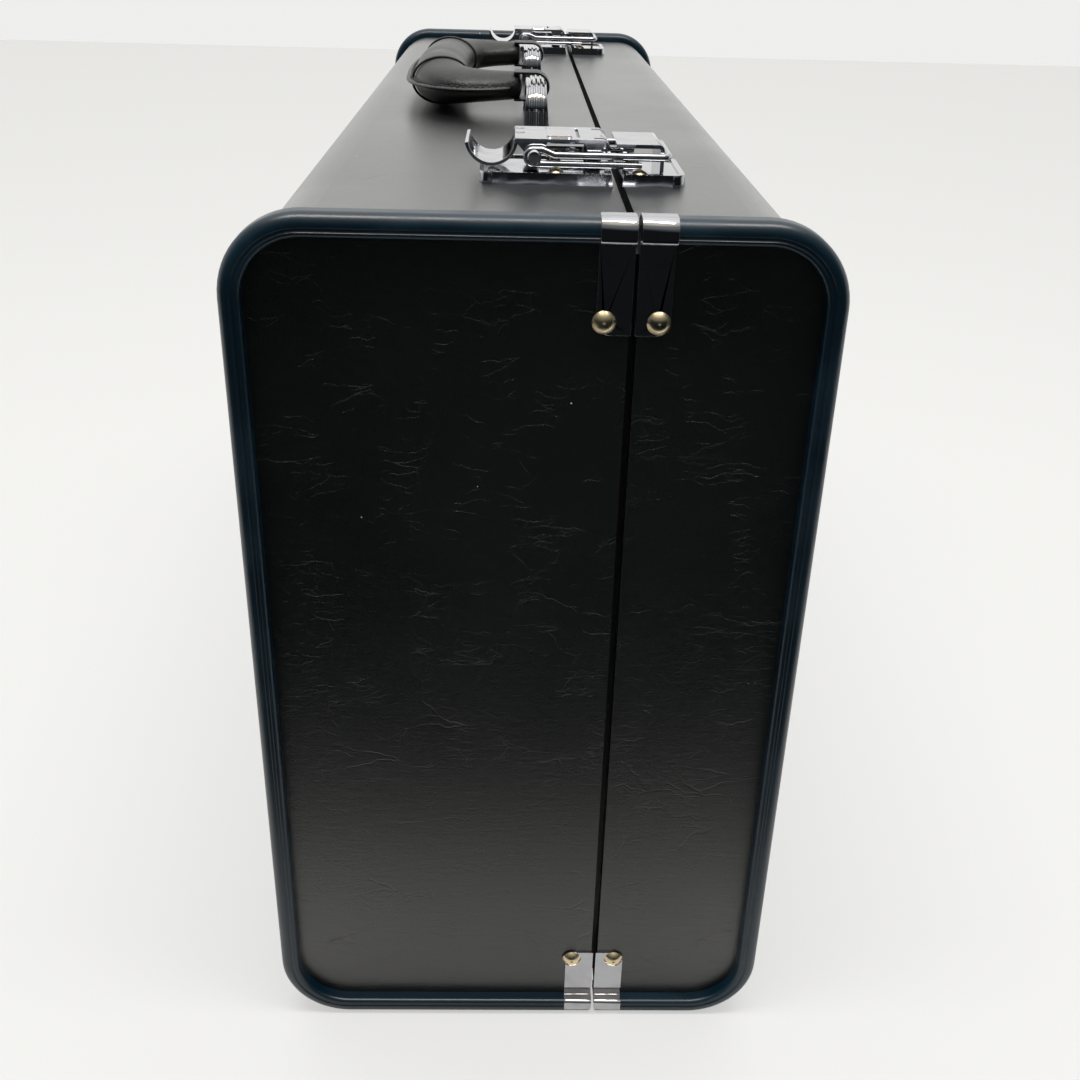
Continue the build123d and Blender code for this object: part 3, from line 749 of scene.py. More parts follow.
VINYL = VinylFinish("cover vinyl", "case_vinyl", (0.0032, 0.0044, 0.0046), 0.31)
BEAD = BeadFinish("bead vinyl", "bead_vinyl", (0.0010, 0.0115, 0.0215), 0.29)
CHROME = MetalFinish("chrome plate", "chrome", (0.49, 0.495, 0.525), 0.05)
LEVER_DIMPLES = tuple((-0.0045, way * 0.1985 + step) for way in (-1, 1) for step in (-0.0005, 0.0085))
LEVER_CHROME = MetalFinish("chrome plate with dimples", "chrome", CHROME.tint, 0.05, dimples=LEVER_DIMPLES)
BRASS = MetalFinish("polished brass", "brass", (0.80, 0.67, 0.44), 0.24, haze=0.16)
NICKEL = MetalFinish("brushed nickel", "hinge_steel", (0.62, 0.61, 0.58), 0.26, grain=1400.0)
LEATHER = LeatherFinish("handle leather", "handle_leather", (0.003, 0.0034, 0.0036), 0.35)
PLUSH = PlushFinish("wine plush", "plush", (0.085, 0.008, 0.016), 0.92)
RIM_PAINT = PaintFinish("black rim paint", "rim_wood", (0.012, 0.012, 0.012), 0.5)
THREAD = ThreadFinish("black thread", "handle_leather", (0.02, 0.02, 0.021), 0.6)


def dress(node: str, finish: Finish, edge: float = 0.0, steps: int = 2) -> None:
    """Give a carried-over rigid node its finish, and break its sharp edges.

    Args:
        node: the node's name.
        finish: its finish.
        edge: width of the rounding in metres, or 0 for none.
        steps: segments of the rounding.
    """
    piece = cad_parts[node]
    piece.data.materials.clear()
    piece.data.materials.append(finish.material())
    if edge:
        weld = piece.modifiers.new("weld", "WELD")
        weld.merge_threshold = MERGE_DISTANCE
        rounding = piece.modifiers.new("edges", "BEVEL")
        rounding.width = edge
        rounding.segments = steps
        rounding.limit_method = "ANGLE"
        rounding.angle_limit = math.radians(BEVEL_DEGREES)
        rounding.harden_normals = True
    LOG.info("%s in %s", node, finish.name)


def piece_from(bm: bmesh.types.BMesh, name: str, finish: Finish, sharp: float = 40.0) -> bpy.types.Object:
    """Make a finished object from a bmesh, and free the bmesh.

    Args:
        bm: the mesh, in the frame's own place.
        name: the piece's name.
        finish: its finish.
        sharp: angle in degrees above which an edge stays sharp.

    Returns:
        The new object, linked to the scene.
    """
    bmesh.ops.remove_doubles(bm, verts=bm.verts, dist=MERGE_DISTANCE)
    bmesh.ops.recalc_face_normals(bm, faces=bm.faces)
    mesh = bpy.data.meshes.new(name)
    bm.to_mesh(mesh)
    bm.free()
    mesh.shade_smooth()
    mesh.set_sharp_from_angle(angle=math.radians(sharp))
    mesh.materials.append(finish.material())
    made = bpy.data.objects.new(name, mesh)
    bpy.context.scene.collection.objects.link(made)
    return made


def subdivide(piece: bpy.types.Object, levels: int) -> None:
    """Smooth a piece with a subdivision surface of so many levels."""
    smooth = piece.modifiers.new("smooth", "SUBSURF")
    smooth.levels = smooth.render_levels = levels


def settle(piece: bpy.types.Object, body: str, *stands_for: str, padding: float | None = None) -> None:
    """Fix a new piece to its body, and hide the nodes that it stands for.

    Args:
        piece: the piece.
        body: the body that it rides on.
        stands_for: nodes that it replaces.
        padding: fill from 0 to 1 where the piece is padded; not used.
    """
    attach(piece, body)
    if stands_for:
        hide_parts(*stands_for)
    LOG.info("%s rides on %s", piece.name, body)


def box_mesh(low: Vector, high: Vector) -> bmesh.types.BMesh:
    """Box between two corners as a new bmesh.

    Args:
        low: lowest corner.
        high: highest corner.

    Returns:
        The box's mesh.
    """
    bm = bmesh.new()
    middle = (low + high) / 2
    size = high - low
    bmesh.ops.create_cube(bm, size=1.0, matrix=Matrix.Translation(middle) @ Matrix.Diagonal((*size, 1)))
    return bm


def soften(bm: bmesh.types.BMesh, edges: Iterable, width: float, steps: int = 3) -> None:
    """Round some edges of a bmesh.

    Args:
        bm: the mesh.
        edges: edges to round.
        width: width of the rounding in metres.
        steps: its segments.
    """
    bmesh.ops.bevel(
        bm, geom=list(edges), offset=width, segments=steps, profile=0.5, affect="EDGES", material=-1
    )


def slice_up(bm: bmesh.types.BMesh, low: Vector, high: Vector, pitch: float, axes: str = "YZ") -> None:
    """Cut a mesh by regular planes, so that its flat faces can swell.

    Args:
        bm: the mesh.
        low: its lowest corner.
        high: its highest corner.
        pitch: distance between the planes.
        axes: the directions in which it is cut.
    """
    for axis in axes:
        number = "XYZ".index(axis)
        count = max(1, round((high[number] - low[number]) / pitch))
        normal = Vector((0, 0, 0))
        normal[number] = 1
        for step in range(1, count):
            level = low[number] + (high[number] - low[number]) * step / count
            geom = [*bm.verts, *bm.edges, *bm.faces]
            bmesh.ops.bisect_plane(bm, geom=geom, plane_co=normal * level, plane_no=normal)


def ripple(bm: bmesh.types.BMesh, depth: float, pitch: float, seed: float) -> None:
    """Move a mesh's points in and out a little, as foam under cloth does.

    Args:
        bm: the mesh.
        depth: largest move in metres.
        pitch: size of the waves in metres.
        seed: shifts the pattern.
    """
    bm.normal_update()
    shift = Vector((seed, seed * 2.3, seed * 0.7))
    for vertex in bm.verts:
        vertex.co += vertex.normal * depth * noise.noise(vertex.co / pitch + shift)


def loft(bm: bmesh.types.BMesh, rings: list[Matrix], segments: int, caps: bool = True) -> None:
    """Join a row of circles, each squeezed and placed by its matrix, into one tube.

    Args:
        bm: the mesh to add to.
        rings: one matrix for each circle of radius 1.
        segments: points on each circle.
        caps: whether the ends are closed.
    """
    before = None
    for number, matrix in enumerate(rings):
        closed = caps and number in (0, len(rings) - 1)
        made = bmesh.ops.create_circle(bm, cap_ends=closed, segments=segments, radius=1.0, matrix=matrix)
        edges = list({edge for vertex in made["verts"] for edge in vertex.link_edges})
        if before is not None:
            bmesh.ops.bridge_loops(bm, edges=[*before, *edges])
        before = edges


@dataclass
class Shells:
    """Both halves' covered plywood: wraps, end panels, beads and the rim between the halves."""

    def dress(self) -> None:
        """Cover the wood and paint the rim."""
        for half in Half:
            dress(f"{half.value}_wrap", VINYL)
            for end in End:
                dress(f"{half.value}_end_{end.value}", VINYL)
                dress(f"{half.value}_bead_{end.value}", BEAD)
        dress("body_rim", RIM_PAINT)


@dataclass
class BeadClips:
    """Folded straps over the ends of the beads, with their dome nails.

    Args:
        edge: rounding of the sheet's edges.
    """

    edge: float = 0.3 * MM

    def dress(self) -> None:
        """Plate the straps and polish the nails."""
        for half in Half:
            for end in End:
                for level in Level:
                    dress(f"{half.value}_clip_{end.value}_{level.value}", CHROME, self.edge)
            dress(f"{half.value}_clip_nails", BRASS)


@dataclass
class DrawLatches:
    """The two draw latches on top of the case.

    Args:
        edge: rounding of the pressings' edges.
    """

    edge: float = 0.3 * MM

    def dress(self) -> None:
        """Plate the pressings and polish the rivets."""
        for end in End:
            for part, finish in (("base", CHROME), ("lever", LEVER_CHROME), ("catch", CHROME)):
                dress(f"latch_{part}_{end.value}", finish, self.edge)
            dress(f"latch_bail_{end.value}", CHROME)
        dress("latch_lever_pins", CHROME)
        for half in Half:
            dress(f"{half.value}_latch_rivets", BRASS)


@dataclass
class CaseHinges:
    """Hinges under the case, and the small ones of the flap inside.

    Args:
        edge: rounding of the large leaves' edges.
    """

    edge: float = 0.2 * MM

    def dress(self) -> None:
        """Finish the leaves, pins and rivets."""
        for place in ("near", "middle", "far"):
            for half in Half:
                dress(f"{half.value}_hinge_{place}", NICKEL, self.edge)
        for half in Half:
            dress(f"{half.value}_hinge_rivets", NICKEL)
        for node in ("hinge_pins", "flap_hinge_fixed", "flap_hinge_moving", "flap_hinge_pins"):
            dress(node, NICKEL)


@dataclass(frozen=True)
class ArmStation:
    """One section of the handle, in millimetres and degrees.

    Args:
        x: its place across the case.
        y: how far it is from the middle of the case.
        height: height of its middle above the deck.
        heading: where the arm runs on from it, as an angle from X.
        width: its level size.
        thick: its upright size.
    """

    x: float
    y: float
    height: float
    heading: float
    width: float
    thick: float

    def matrix(self, mirrored: bool, swell: float = 0.0) -> Matrix:
        """Placement of a unit circle that fills the section.

        Args:
            mirrored: whether the section is the one at the far end.
            swell: how much larger it is all round, in millimetres.

        Returns:
            The matrix, in metres.
        """
        turn = math.radians(self.heading)
        ahead = Vector((math.cos(turn), math.sin(turn), 0))
        across = Vector((-ahead.y, ahead.x, 0))
        axes = Matrix((across, Vector((0, 0, 1)), ahead)).transposed().to_4x4()
        size = Matrix.Diagonal(((self.width / 2 + swell) * MM, (self.thick / 2 + swell) * MM, MM, 1))
        where = Matrix.Translation((self.x * MM, -self.y * MM, DECK + self.height * MM))
        placed = where @ axes @ size
        return Matrix.Diagonal((1, -1, 1, 1)) @ placed if mirrored else placed


@dataclass
class Handle:
    """Leather handle with its arches.

    Args:
        axis_x: where the arches stand across the case, in millimetres.
        axis_height: height of the loops' middle above the deck, in millimetres.
        loop_y: where the loops sit along the case, in millimetres.
        loop_width: width of a loop along its arch.
        loop_radii: inner and outer radius of a loop.
        loop_reach: how far a loop's two ends run back along the arm.
        flange: how far the flange stands out, and its thickness.
        stitch_pitch: distance between stitches.
        stitch_inset: how far out on the flange they are.
        stitch_slant: their slant in degrees.
        stitch_size: half of their length, width and height.
        edge_station: section where the grip's cover ends.
        edge_r: radius of the cover's rolled edge.
        edge_lift: how far that edge stands off the grip.
        edge_steps: sections of it round the grip.
        segments: points round an arm, and round a loop's strap.
        trim_segments: points round the flange, and round the rolled edge.
        bend_steps: sections of a loop's bend.
        squareness: how much wider a loop's outline is before its sides are cut flat.
        smoothing: levels of the subdivision surface.
        sharp: angle in degrees above which an edge of the leather stays sharp.
        stations: sections of one arm, from the loop to the grip.
    """

    axis_x: float = 2.6
    axis_height: float = 11.5
    loop_y: float = 64.0
    loop_width: float = 12.0
    loop_radii: tuple[float, float] = (4.65, 6.0)
    loop_reach: float = 9.0
    flange: tuple[float, float] = (3.6, 2.2)
    stitch_pitch: float = 2.6
    stitch_inset: float = 0.9
    stitch_slant: float = 24.0
    stitch_size: tuple[float, float, float] = (1.05, 0.34, 0.3)
    edge_station: int = 7
    edge_r: float = 0.55
    edge_lift: float = 0.2
    edge_steps: int = 48
    segments: int = 20
    trim_segments: int = 8
    bend_steps: int = 16
    squareness: float = 1.25
    smoothing: int = 2
    sharp: float = 60.0
    stations: tuple[ArmStation, ...] = (
        ArmStation(-3.0, 64.0, 11.5, 180, 12.8, 10.8),
        ArmStation(-7.0, 64.3, 11.4, 180, 16.5, 11.4),
        ArmStation(-14.0, 65.0, 11.2, 181, 22.0, 12.0),
        ArmStation(-20.0, 64.8, 11.0, 174, 25.0, 12.8),
        ArmStation(-26.0, 63.5, 10.8, 163, 26.5, 14.0),
        ArmStation(-31.5, 59.5, 10.6, 145, 27.0, 15.8),
        ArmStation(-35.5, 53.0, 10.5, 123, 26.4, 17.5),
        ArmStation(-37.8, 45.0, 10.5, 101, 25.0, 18.6),
        ArmStation(-38.5, 36.0, 10.5, 90, 24.0, 19.0),
        ArmStation(-39.4, 18.0, 10.5, 90, 24.0, 19.2),
        ArmStation(-39.8, 0.0, 10.5, 90, 24.0, 19.2),
    )

    def rings(self, swell: float = 0.0, start: int = 0) -> list[Matrix]:
        """Sections of the whole handle, from the near loop to the far one.

        Args:
            swell: how much larger they are, in millimetres.
            start: how many sections are left out at each end.

        Returns:
            Their matrices.
        """
        chosen = self.stations[start:]
        near = [station.matrix(False, swell) for station in chosen]
        far = [station.matrix(True, swell) for station in reversed(chosen[:-1])]
        return [*near, *far]

    def build_grip(self) -> bpy.types.Object:
        """Padded grip with its two arms.

        Returns:
            The grip's piece.
        """
        bm = bmesh.new()
        loft(bm, self.rings(), self.segments)
        grip = piece_from(bm, "handle_grip", LEATHER, self.sharp)
        subdivide(grip, self.smoothing)
        return grip

    def outer_points(self) -> list[tuple[Vector, Vector]]:
        """Points along the handle's outer side, with the direction that faces out.

        Returns:
            Pairs of point and direction, from the near loop to the far one.
        """
        found = []
        for matrix in self.rings(0.0, 1):
            middle = matrix.to_translation()
            across = matrix.to_3x3() @ Vector((1, 0, 0))
            inward = Vector((self.axis_x * MM - middle.x, -middle.y, 0))
            if across.dot(inward) > 0:
                across.negate()
            found.append((middle + across, across.normalized()))
        return found

    def build_flange(self) -> bpy.types.Object:
        """Stitched flange along the outer side of the grip and the arms.

        Returns:
            The flange's piece.
        """
        wide, thick = self.flange
        rings = []
        for point, outward in self.outer_points():
            upward = Vector((0, 0, 1))
            axes = Matrix((outward, upward, outward.cross(upward))).transposed().to_4x4()
            size = Matrix.Diagonal((wide * MM, thick / 2 * MM, MM, 1))
            rings.append(Matrix.Translation(point) @ axes @ size)
        bm = bmesh.new()
        loft(bm, rings, self.trim_segments)
        flange = piece_from(bm, "handle_flange", LEATHER, self.sharp)
        subdivide(flange, self.smoothing)
        return flange

    def build_loop(self, end: End) -> bpy.types.Object:
        """Leather loop round the crown of one arch.

        Args:
            end: which of the two.

        Returns:
            The loop's piece.
        """
        inner, outer = self.loop_radii
        centre = Vector((self.axis_x * MM, end.way * self.loop_y * MM, DECK + self.axis_height * MM))
        middle = centre + Vector((0, 0, (inner + outer) / 2 * MM))
        half_thick, half_wide = (outer - inner) / 2 * MM, self.loop_width / 2 * MM
        upright = Matrix.Rotation(math.radians(90), 4, "Y")
        size = Matrix.Diagonal((half_thick, half_wide * self.squareness, MM, 1))
        place = Matrix.Translation(middle) @ upright @ size
        bm = bmesh.new()
        made = bmesh.ops.create_circle(bm, segments=self.segments, radius=1.0, matrix=place)
        for vertex in made["verts"]:
            out = vertex.co.y - middle.y
            vertex.co.y = middle.y + math.copysign(min(abs(out), half_wide), out)
        first = list({edge for vertex in made["verts"] for edge in vertex.link_edges})
        turned = bmesh.ops.spin(
            bm,
            geom=[*made["verts"], *first],
            cent=centre,
            axis=(0, 1, 0),
            angle=math.pi,
            steps=self.bend_steps,
            use_merge=False,
        )
        last = [item for item in turned["geom_last"] if isinstance(item, bmesh.types.BMEdge)]
        for ring in (first, last):
            drawn = bmesh.ops.extrude_edge_only(bm, edges=ring)["geom"]
            points = [item for item in drawn if isinstance(item, bmesh.types.BMVert)]
            bmesh.ops.translate(bm, verts=points, vec=(-self.loop_reach * MM, 0, 0))
        return piece_from(bm, f"handle_loop_{end.value}", LEATHER, self.sharp)

    def build_seams(self) -> bpy.types.Object:
        """Rolled edges of the grip's cover, one towards each arm.

        Returns:
            Both edges as one piece.
        """
        bm = bmesh.new()
        thread = Matrix.Diagonal((self.edge_r * MM, self.edge_r * MM, MM, 1))
        for mirrored in (False, True):
            section = self.stations[self.edge_station].matrix(mirrored, self.edge_lift)
            rings = []
            for step in range(self.edge_steps + 1):
                angle = math.tau * step / self.edge_steps
                point = section @ Vector((math.cos(angle), math.sin(angle), 0))
                ahead = section.to_3x3() @ Vector((-math.sin(angle), math.cos(angle), 0))
                turn = ahead.to_track_quat("Z", "Y").to_matrix().to_4x4()
                rings.append(Matrix.Translation(point) @ turn @ thread)
            loft(bm, rings, self.trim_segments, caps=False)
        return piece_from(bm, "handle_cover_edges", LEATHER, self.sharp)

    def build_stitches(self) -> bpy.types.Object:
        """Row of stitches beside the flange.

        Returns:
            All stitches as one piece.
        """
        points = self.outer_points()
        bm = bmesh.new()
        carried = 0.0
        for (start, out_a), (finish, out_b) in zip(points, points[1:]):
            run = finish - start
            while carried < run.length:
                share = carried / run.length
                outward = out_a.lerp(out_b, share).normalized()
                top = Vector((0, 0, self.flange[1] / 2 * MM))
                spot = start.lerp(finish, share) + outward * self.stitch_inset * MM + top
                turn = run.to_track_quat("X", "Z").to_matrix().to_4x4()
                slant = Matrix.Rotation(math.radians(self.stitch_slant), 4, "Z")
                size = Matrix.Diagonal((*(half * MM for half in self.stitch_size), 1))
                place = Matrix.Translation(spot) @ turn @ slant @ size
                bmesh.ops.create_uvsphere(bm, u_segments=8, v_segments=5, radius=1.0, matrix=place)
                carried += self.stitch_pitch * MM
            carried -= run.length
        return piece_from(bm, "handle_stitches", THREAD, self.sharp)

    def build(self) -> None:
        """Make the leather pieces and plate the arches."""
        grip = self.build_grip()
        settle(grip, "handle", "handle_leather", padding=0.8)
        for end in End:
            settle(self.build_loop(end), "handle")
            dress(f"handle_arch_{end.value}", CHROME)
        settle(self.build_flange(), "handle")
        settle(self.build_seams(), "handle")
        settle(self.build_stitches(), "handle")
        dress("handle_plates", NICKEL)


@dataclass(frozen=True)
class Notch:
    """Round-bottomed notch in a block's front, in millimetres.

    Args:
        height: height of its middle.
        radius: radius of its bottom.
        middle_x: where its middle is across the case.
    """

    height: float
    radius: float
    middle_x: float


@dataclass
class PlushInterior:
    """Plush-covered linings, pads, partitions, blocks and flap.

    Args:
        pitch: distance between the cuts that let a face swell.
        crown: how far a pad's face swells.
        dish: how far it falls back at its edges.
        flatness: how late the swelling ends towards the edges.
        corner: rounding of a pad's long edges, where the shell turns.
        block_waves: depth and size of the waves in a block's faces.
        saddle_waves: the same in a block with notches.
        lining_waves: the same in the linings.
        pad_waves: the same in the pads.
        thin: the most of a thin block's thickness that its edges' rounding takes.
        mouth: rounding of the linings' inner edges.
        notch_steps: sections of a notch's bottom.
        well_segments: sections round a mouthpiece well.
        sharp: angle in degrees above which an edge of the plush stays sharp.
        edge: rounding of a block's edges.
        wall: thickness of the linings.
        voxel: size of the squares that a pad is rebuilt in before it is filled.
        pressure: how hard the filling pushes.
        cloth_frames: how many frames the filling takes.
        swell: the most that a point of a pad may move.
        frames: linings, and the body of each.
        pads: large pads, and the body of each.
        slots: notches of the blocks that hold the instrument, by node.
        well_ys: where the mouthpiece wells are along the case, in millimetres.
        well: radius and depth of a well, in millimetres.
    """

    pitch: float = 12 * MM
    crown: float = 2.0 * MM
    dish: float = 1.2 * MM
    flatness: int = 6
    corner: float = 7.5 * MM
    block_waves: tuple[float, float] = (0.3 * MM, 30 * MM)
    saddle_waves: tuple[float, float] = (0.25 * MM, 30 * MM)
    lining_waves: tuple[float, float] = (0.3 * MM, 28 * MM)
    pad_waves: tuple[float, float] = (0.5 * MM, 45 * MM)
    thin: float = 0.35
    mouth: float = 1.0 * MM
    notch_steps: int = 12
    well_segments: int = 40
    sharp: float = 50.0
    edge: float = 1.8 * MM
    wall: float = 4.0 * MM
    voxel: float = 5.0 * MM
    pressure: float = 4.0
    cloth_frames: int = 20
    swell: float = 2.5 * MM
    frames: dict[str, str] = field(default_factory=lambda: {"body_lining": "case_body", "lid_lining": "lid"})
    pads: dict[str, str] = field(default_factory=lambda: {"body_pad": "case_body", "lid_pad": "lid"})
    slots: dict[str, tuple[Notch, ...]] = field(
        default_factory=lambda: {
            "bell_block": (Notch(110.0, 38.0, -6.5),),
            "valve_blocks": (Notch(72.0, 10.0, -28.0), Notch(150.0, 12.5, -28.0)),
        }
    )
    well_ys: tuple[float, float] = (211.0, 245.0)
    well: tuple[float, float] = (14.0, 36.0)

    def parts_of(self, node: str) -> list[tuple[Vector, Vector]]:
        """Boxes of a node's separate solids.

        Args:
            node: the node.

        Returns:
            Lowest and highest corner of each, in order along the case.
        """
        bm = bmesh.new()
        bm.from_mesh(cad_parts[node].data)
        bmesh.ops.remove_doubles(bm, verts=bm.verts, dist=MERGE_DISTANCE)
        left = set(bm.verts)
        boxes = []
        while left:
            island = {left.pop()}
            edge = list(island)
            while edge:
                near = {e.other_vert(v) for v in edge for e in v.link_edges} & left
                left -= near
                island |= near
                edge = list(near)
            corners = [[pick(v.co[axis] for v in island) for axis in range(3)] for pick in (min, max)]
            boxes.append((Vector(corners[0]), Vector(corners[1])))
        bm.free()
        return sorted(boxes, key=lambda box: box[0].y)

    def build_block(self, low: Vector, high: Vector, seed: float) -> bmesh.types.BMesh:
        """Upholstered block with soft edges.

        Args:
            low: lowest corner.
            high: highest corner.
            seed: shifts its unevenness.

        Returns:
            The block's mesh.
        """
        bm = box_mesh(low, high)
        soften(bm, bm.edges, min(self.edge, min(high - low) * self.thin))
        slice_up(bm, low, high, self.pitch)
        ripple(bm, *self.block_waves, seed)
        return bm

    def build_saddle(
        self, low: Vector, high: Vector, notches: tuple[Notch, ...], seed: float
    ) -> bmesh.types.BMesh:
        """Block whose front has round-bottomed notches.

        Args:
            low: lowest corner.
            high: highest corner.
            notches: its notches.
            seed: shifts its unevenness.

        Returns:
            The block's mesh.
        """
        bm = bmesh.new()
        outline = [(high.x, low.z), (low.x, low.z), (low.x, high.z), (high.x, high.z)]
        for notch in sorted(notches, key=lambda item: -item.height):
            middle, radius = Vector((notch.middle_x, notch.height)) * MM, notch.radius * MM
            outline.append((high.x, middle.y + radius))
            for step in range(self.notch_steps + 1):
                angle = math.pi / 2 + math.pi * step / self.notch_steps
                outline.append((middle.x + radius * math.cos(angle), middle.y + radius * math.sin(angle)))
            outline.append((high.x, middle.y - radius))
        face = bm.faces.new([bm.verts.new((x, low.y, z)) for x, z in outline])
        drawn = bmesh.ops.extrude_face_region(bm, geom=[face])["geom"]
        moved = [item for item in drawn if isinstance(item, bmesh.types.BMVert)]
        bmesh.ops.translate(bm, verts=moved, vec=(0, high.y - low.y, 0))
        bmesh.ops.recalc_face_normals(bm, faces=bm.faces)
        rims = [e for e in bm.edges if abs(e.verts[0].co.y - e.verts[1].co.y) < MERGE_DISTANCE]
        soften(bm, rims, self.edge)
        for level in range(int(low.z / self.pitch) + 1, int(high.z / self.pitch) + 1):
            geom = [*bm.verts, *bm.edges, *bm.faces]
            height = Vector((0, 0, level * self.pitch))
            bmesh.ops.bisect_plane(bm, geom=geom, plane_co=height, plane_no=(0, 0, 1))
        ripple(bm, *self.saddle_waves, seed)
        return bm

    def drill_wells(self, piece: bpy.types.Object, low: Vector, high: Vector) -> None:
        """Cut the mouthpiece wells into the front of their block.

        Args:
            piece: the block's piece.
            low: lowest corner of the block.
            high: highest corner of the block.
        """
        radius, depth = (size * MM for size in self.well)
        bm = bmesh.new()
        for y in self.well_ys:
            mouth = Matrix.Translation((high.x, y * MM, (low.z + high.z) / 2))
            place = mouth @ Matrix.Rotation(math.pi / 2, 4, "Y")
            bmesh.ops.create_cone(
                bm,
                cap_ends=True,
                segments=self.well_segments,
                radius1=radius,
                radius2=radius,
                depth=2 * depth,
                matrix=place,
            )
        cutter = piece_from(bm, "well_cutter", PLUSH)
        cut = piece.modifiers.new("wells", "BOOLEAN")
        cut.operation = "DIFFERENCE"
        cut.object = cutter
        self.bake(piece)
        piece.data.set_sharp_from_angle(angle=math.radians(self.sharp))
        bpy.data.objects.remove(cutter)

    def build_lining(self, node: str) -> bpy.types.Object:
        """Foam-backed plush on the four narrow walls of a half.

        Args:
            node: the node that it stands for.

        Returns:
            The lining's piece.
        """
        low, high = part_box(node)
        bm = box_mesh(low, high)
        faces = [face for face in bm.faces if abs(face.normal.x) > 0.9]
        bmesh.ops.inset_individual(bm, faces=faces, thickness=self.wall)
        loops = [list(face.edges) for face in faces]
        bmesh.ops.delete(bm, geom=faces, context="FACES_ONLY")
        bmesh.ops.bridge_loops(bm, edges=[*loops[0], *loops[1]])
        inner = [edge for edge in bm.edges if edge.calc_face_angle(0) > 1]
        soften(bm, inner, self.mouth, steps=2)
        slice_up(bm, low, high, self.pitch, "XYZ")
        ripple(bm, *self.lining_waves, 3.0 if node == "body_lining" else 5.0)
        return piece_from(bm, f"{node}_plush", PLUSH, self.sharp)

    def build_pad(self, node: str) -> bpy.types.Object:
        """Large pad against the outer wall of a half, crowned between its edges.

        Args:
            node: the node that it stands for.

        Returns:
            The pad's piece.
        """
        low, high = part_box(node)
        side = 1 if low.x > 0 else -1
        bm = box_mesh(low, high)
        wall_x = max(high.x, low.x, key=abs)
        back = [e for e in bm.edges if all(abs(v.co.x - wall_x) < MERGE_DISTANCE for v in e.verts)]
        long_edges = [e for e in back if abs(e.verts[0].co.y - e.verts[1].co.y) > 0.1]
        soften(bm, long_edges, self.corner, steps=5)
        slice_up(bm, low, high, self.pitch)
        middle, half = (low + high) / 2, (high - low) / 2
        for vertex in bm.verts:
            if side * (vertex.co.x - middle.x) < 0:
                u = abs(vertex.co.y - middle.y) / half.y
                v = abs(vertex.co.z - middle.z) / half.z
                swell = (1 - u**self.flatness) * (1 - v**self.flatness)
                vertex.co.x += side * (self.dish * (1 - swell) ** 2 - self.crown * swell)
        ripple(bm, *self.pad_waves, 7.0 + side)
        return piece_from(bm, f"{node}_plush", PLUSH, self.sharp)

    def fill(self, piece: bpy.types.Object, low: Vector, high: Vector) -> None:
        """Fill a pad by cloth simulation, and keep it within its own space.

        Args:
            piece: the pad's piece, slightly smaller than its space.
            low: lowest corner of its space.
            high: highest corner of its space.
        """
        scene = bpy.context.scene
        rebuilt = piece.modifiers.new("rebuild", "REMESH")
        rebuilt.mode = "VOXEL"
        rebuilt.voxel_size = self.voxel
        self.bake(piece)
        before = [vertex.co.copy() for vertex in piece.data.vertices]
        cloth = piece.modifiers.new("cloth", "CLOTH")
        cloth.settings.use_pressure = True
        cloth.settings.uniform_pressure_force = self.pressure
        cloth.settings.effector_weights.gravity = 0
        for number in range(1, self.cloth_frames + 1):
            scene.frame_set(number)
        self.bake(piece)
        scene.frame_set(1)
        for vertex, start in zip(piece.data.vertices, before):
            move = vertex.co - start
            if move.length > self.swell:
                vertex.co = start + move.normalized() * self.swell
            for axis in range(3):
                vertex.co[axis] = min(max(vertex.co[axis], low[axis]), high[axis])
        subdivide(piece, 1)

    def bake(self, piece: bpy.types.Object) -> None:
        """Apply a piece's modifiers to its mesh.

        Args:
            piece: the piece.
        """
        shown = bpy.context.evaluated_depsgraph_get()
        shown.update()
        solved = bpy.data.meshes.new_from_object(piece.evaluated_get(shown))
        piece.modifiers.clear()
        old = piece.data
        piece.data = solved
        bpy.data.meshes.remove(old)
        piece.data.shade_smooth()

    def build_all(self) -> None:
        """Make every plush piece, and finish the flap's tab."""
        for node, body in self.frames.items():
            settle(self.build_lining(node), body, node, padding=0.5)
        for node, body in self.pads.items():
            pad = self.build_pad(node)
            self.fill(pad, *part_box(node))
            settle(pad, body, node, padding=0.6)
        board = self.build_block(*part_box("long_partition"), 1.0)
        shelf = piece_from(board, "long_partition_plush", PLUSH, self.sharp)
        settle(shelf, "case_body", "long_partition", padding=0.4)
        for node in ("cross_partitions", "mouthpiece_block", "bell_block", "valve_blocks"):
            self.build_blocks(node)
        board = self.build_block(*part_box("accessory_flap"), 2.0)
        flap = piece_from(board, "accessory_flap_plush", PLUSH, self.sharp)
        settle(flap, "accessory_flap", "accessory_flap", padding=0.4)
        dress("flap_pull_tab", LEATHER)

    def build_blocks(self, node: str) -> None:
        """Make each block of a node, and fix them to the body.

        Args:
            node: the node that they stand for.
        """
        pieces = []
        for number, (low, high) in enumerate(self.parts_of(node)):
            seed = 4.0 + 1.7 * number
            if node in self.slots:
                bm = self.build_saddle(low, high, self.slots[node], seed)
            else:
                bm = self.build_block(low, high, seed)
            pieces.append(piece_from(bm, f"{node}_plush_{number + 1}", PLUSH, self.sharp))
            if node == "mouthpiece_block":
                self.drill_wells(pieces[-1], low, high)
        settle(pieces[0], "case_body", node, padding=0.5)
        for piece in pieces[1:]:
            settle(piece, "case_body", padding=0.5)


@dataclass(frozen=True)
class Lamp:
    """Soft rectangular light that shines straight down.

    Args:
        name: its name.
        place: its middle in metres.
        size: its size across and along the case in metres.
        power: its power in watts.
    """

    name: str
    place: tuple[float, float, float]
    size: tuple[float, float]
    power: float


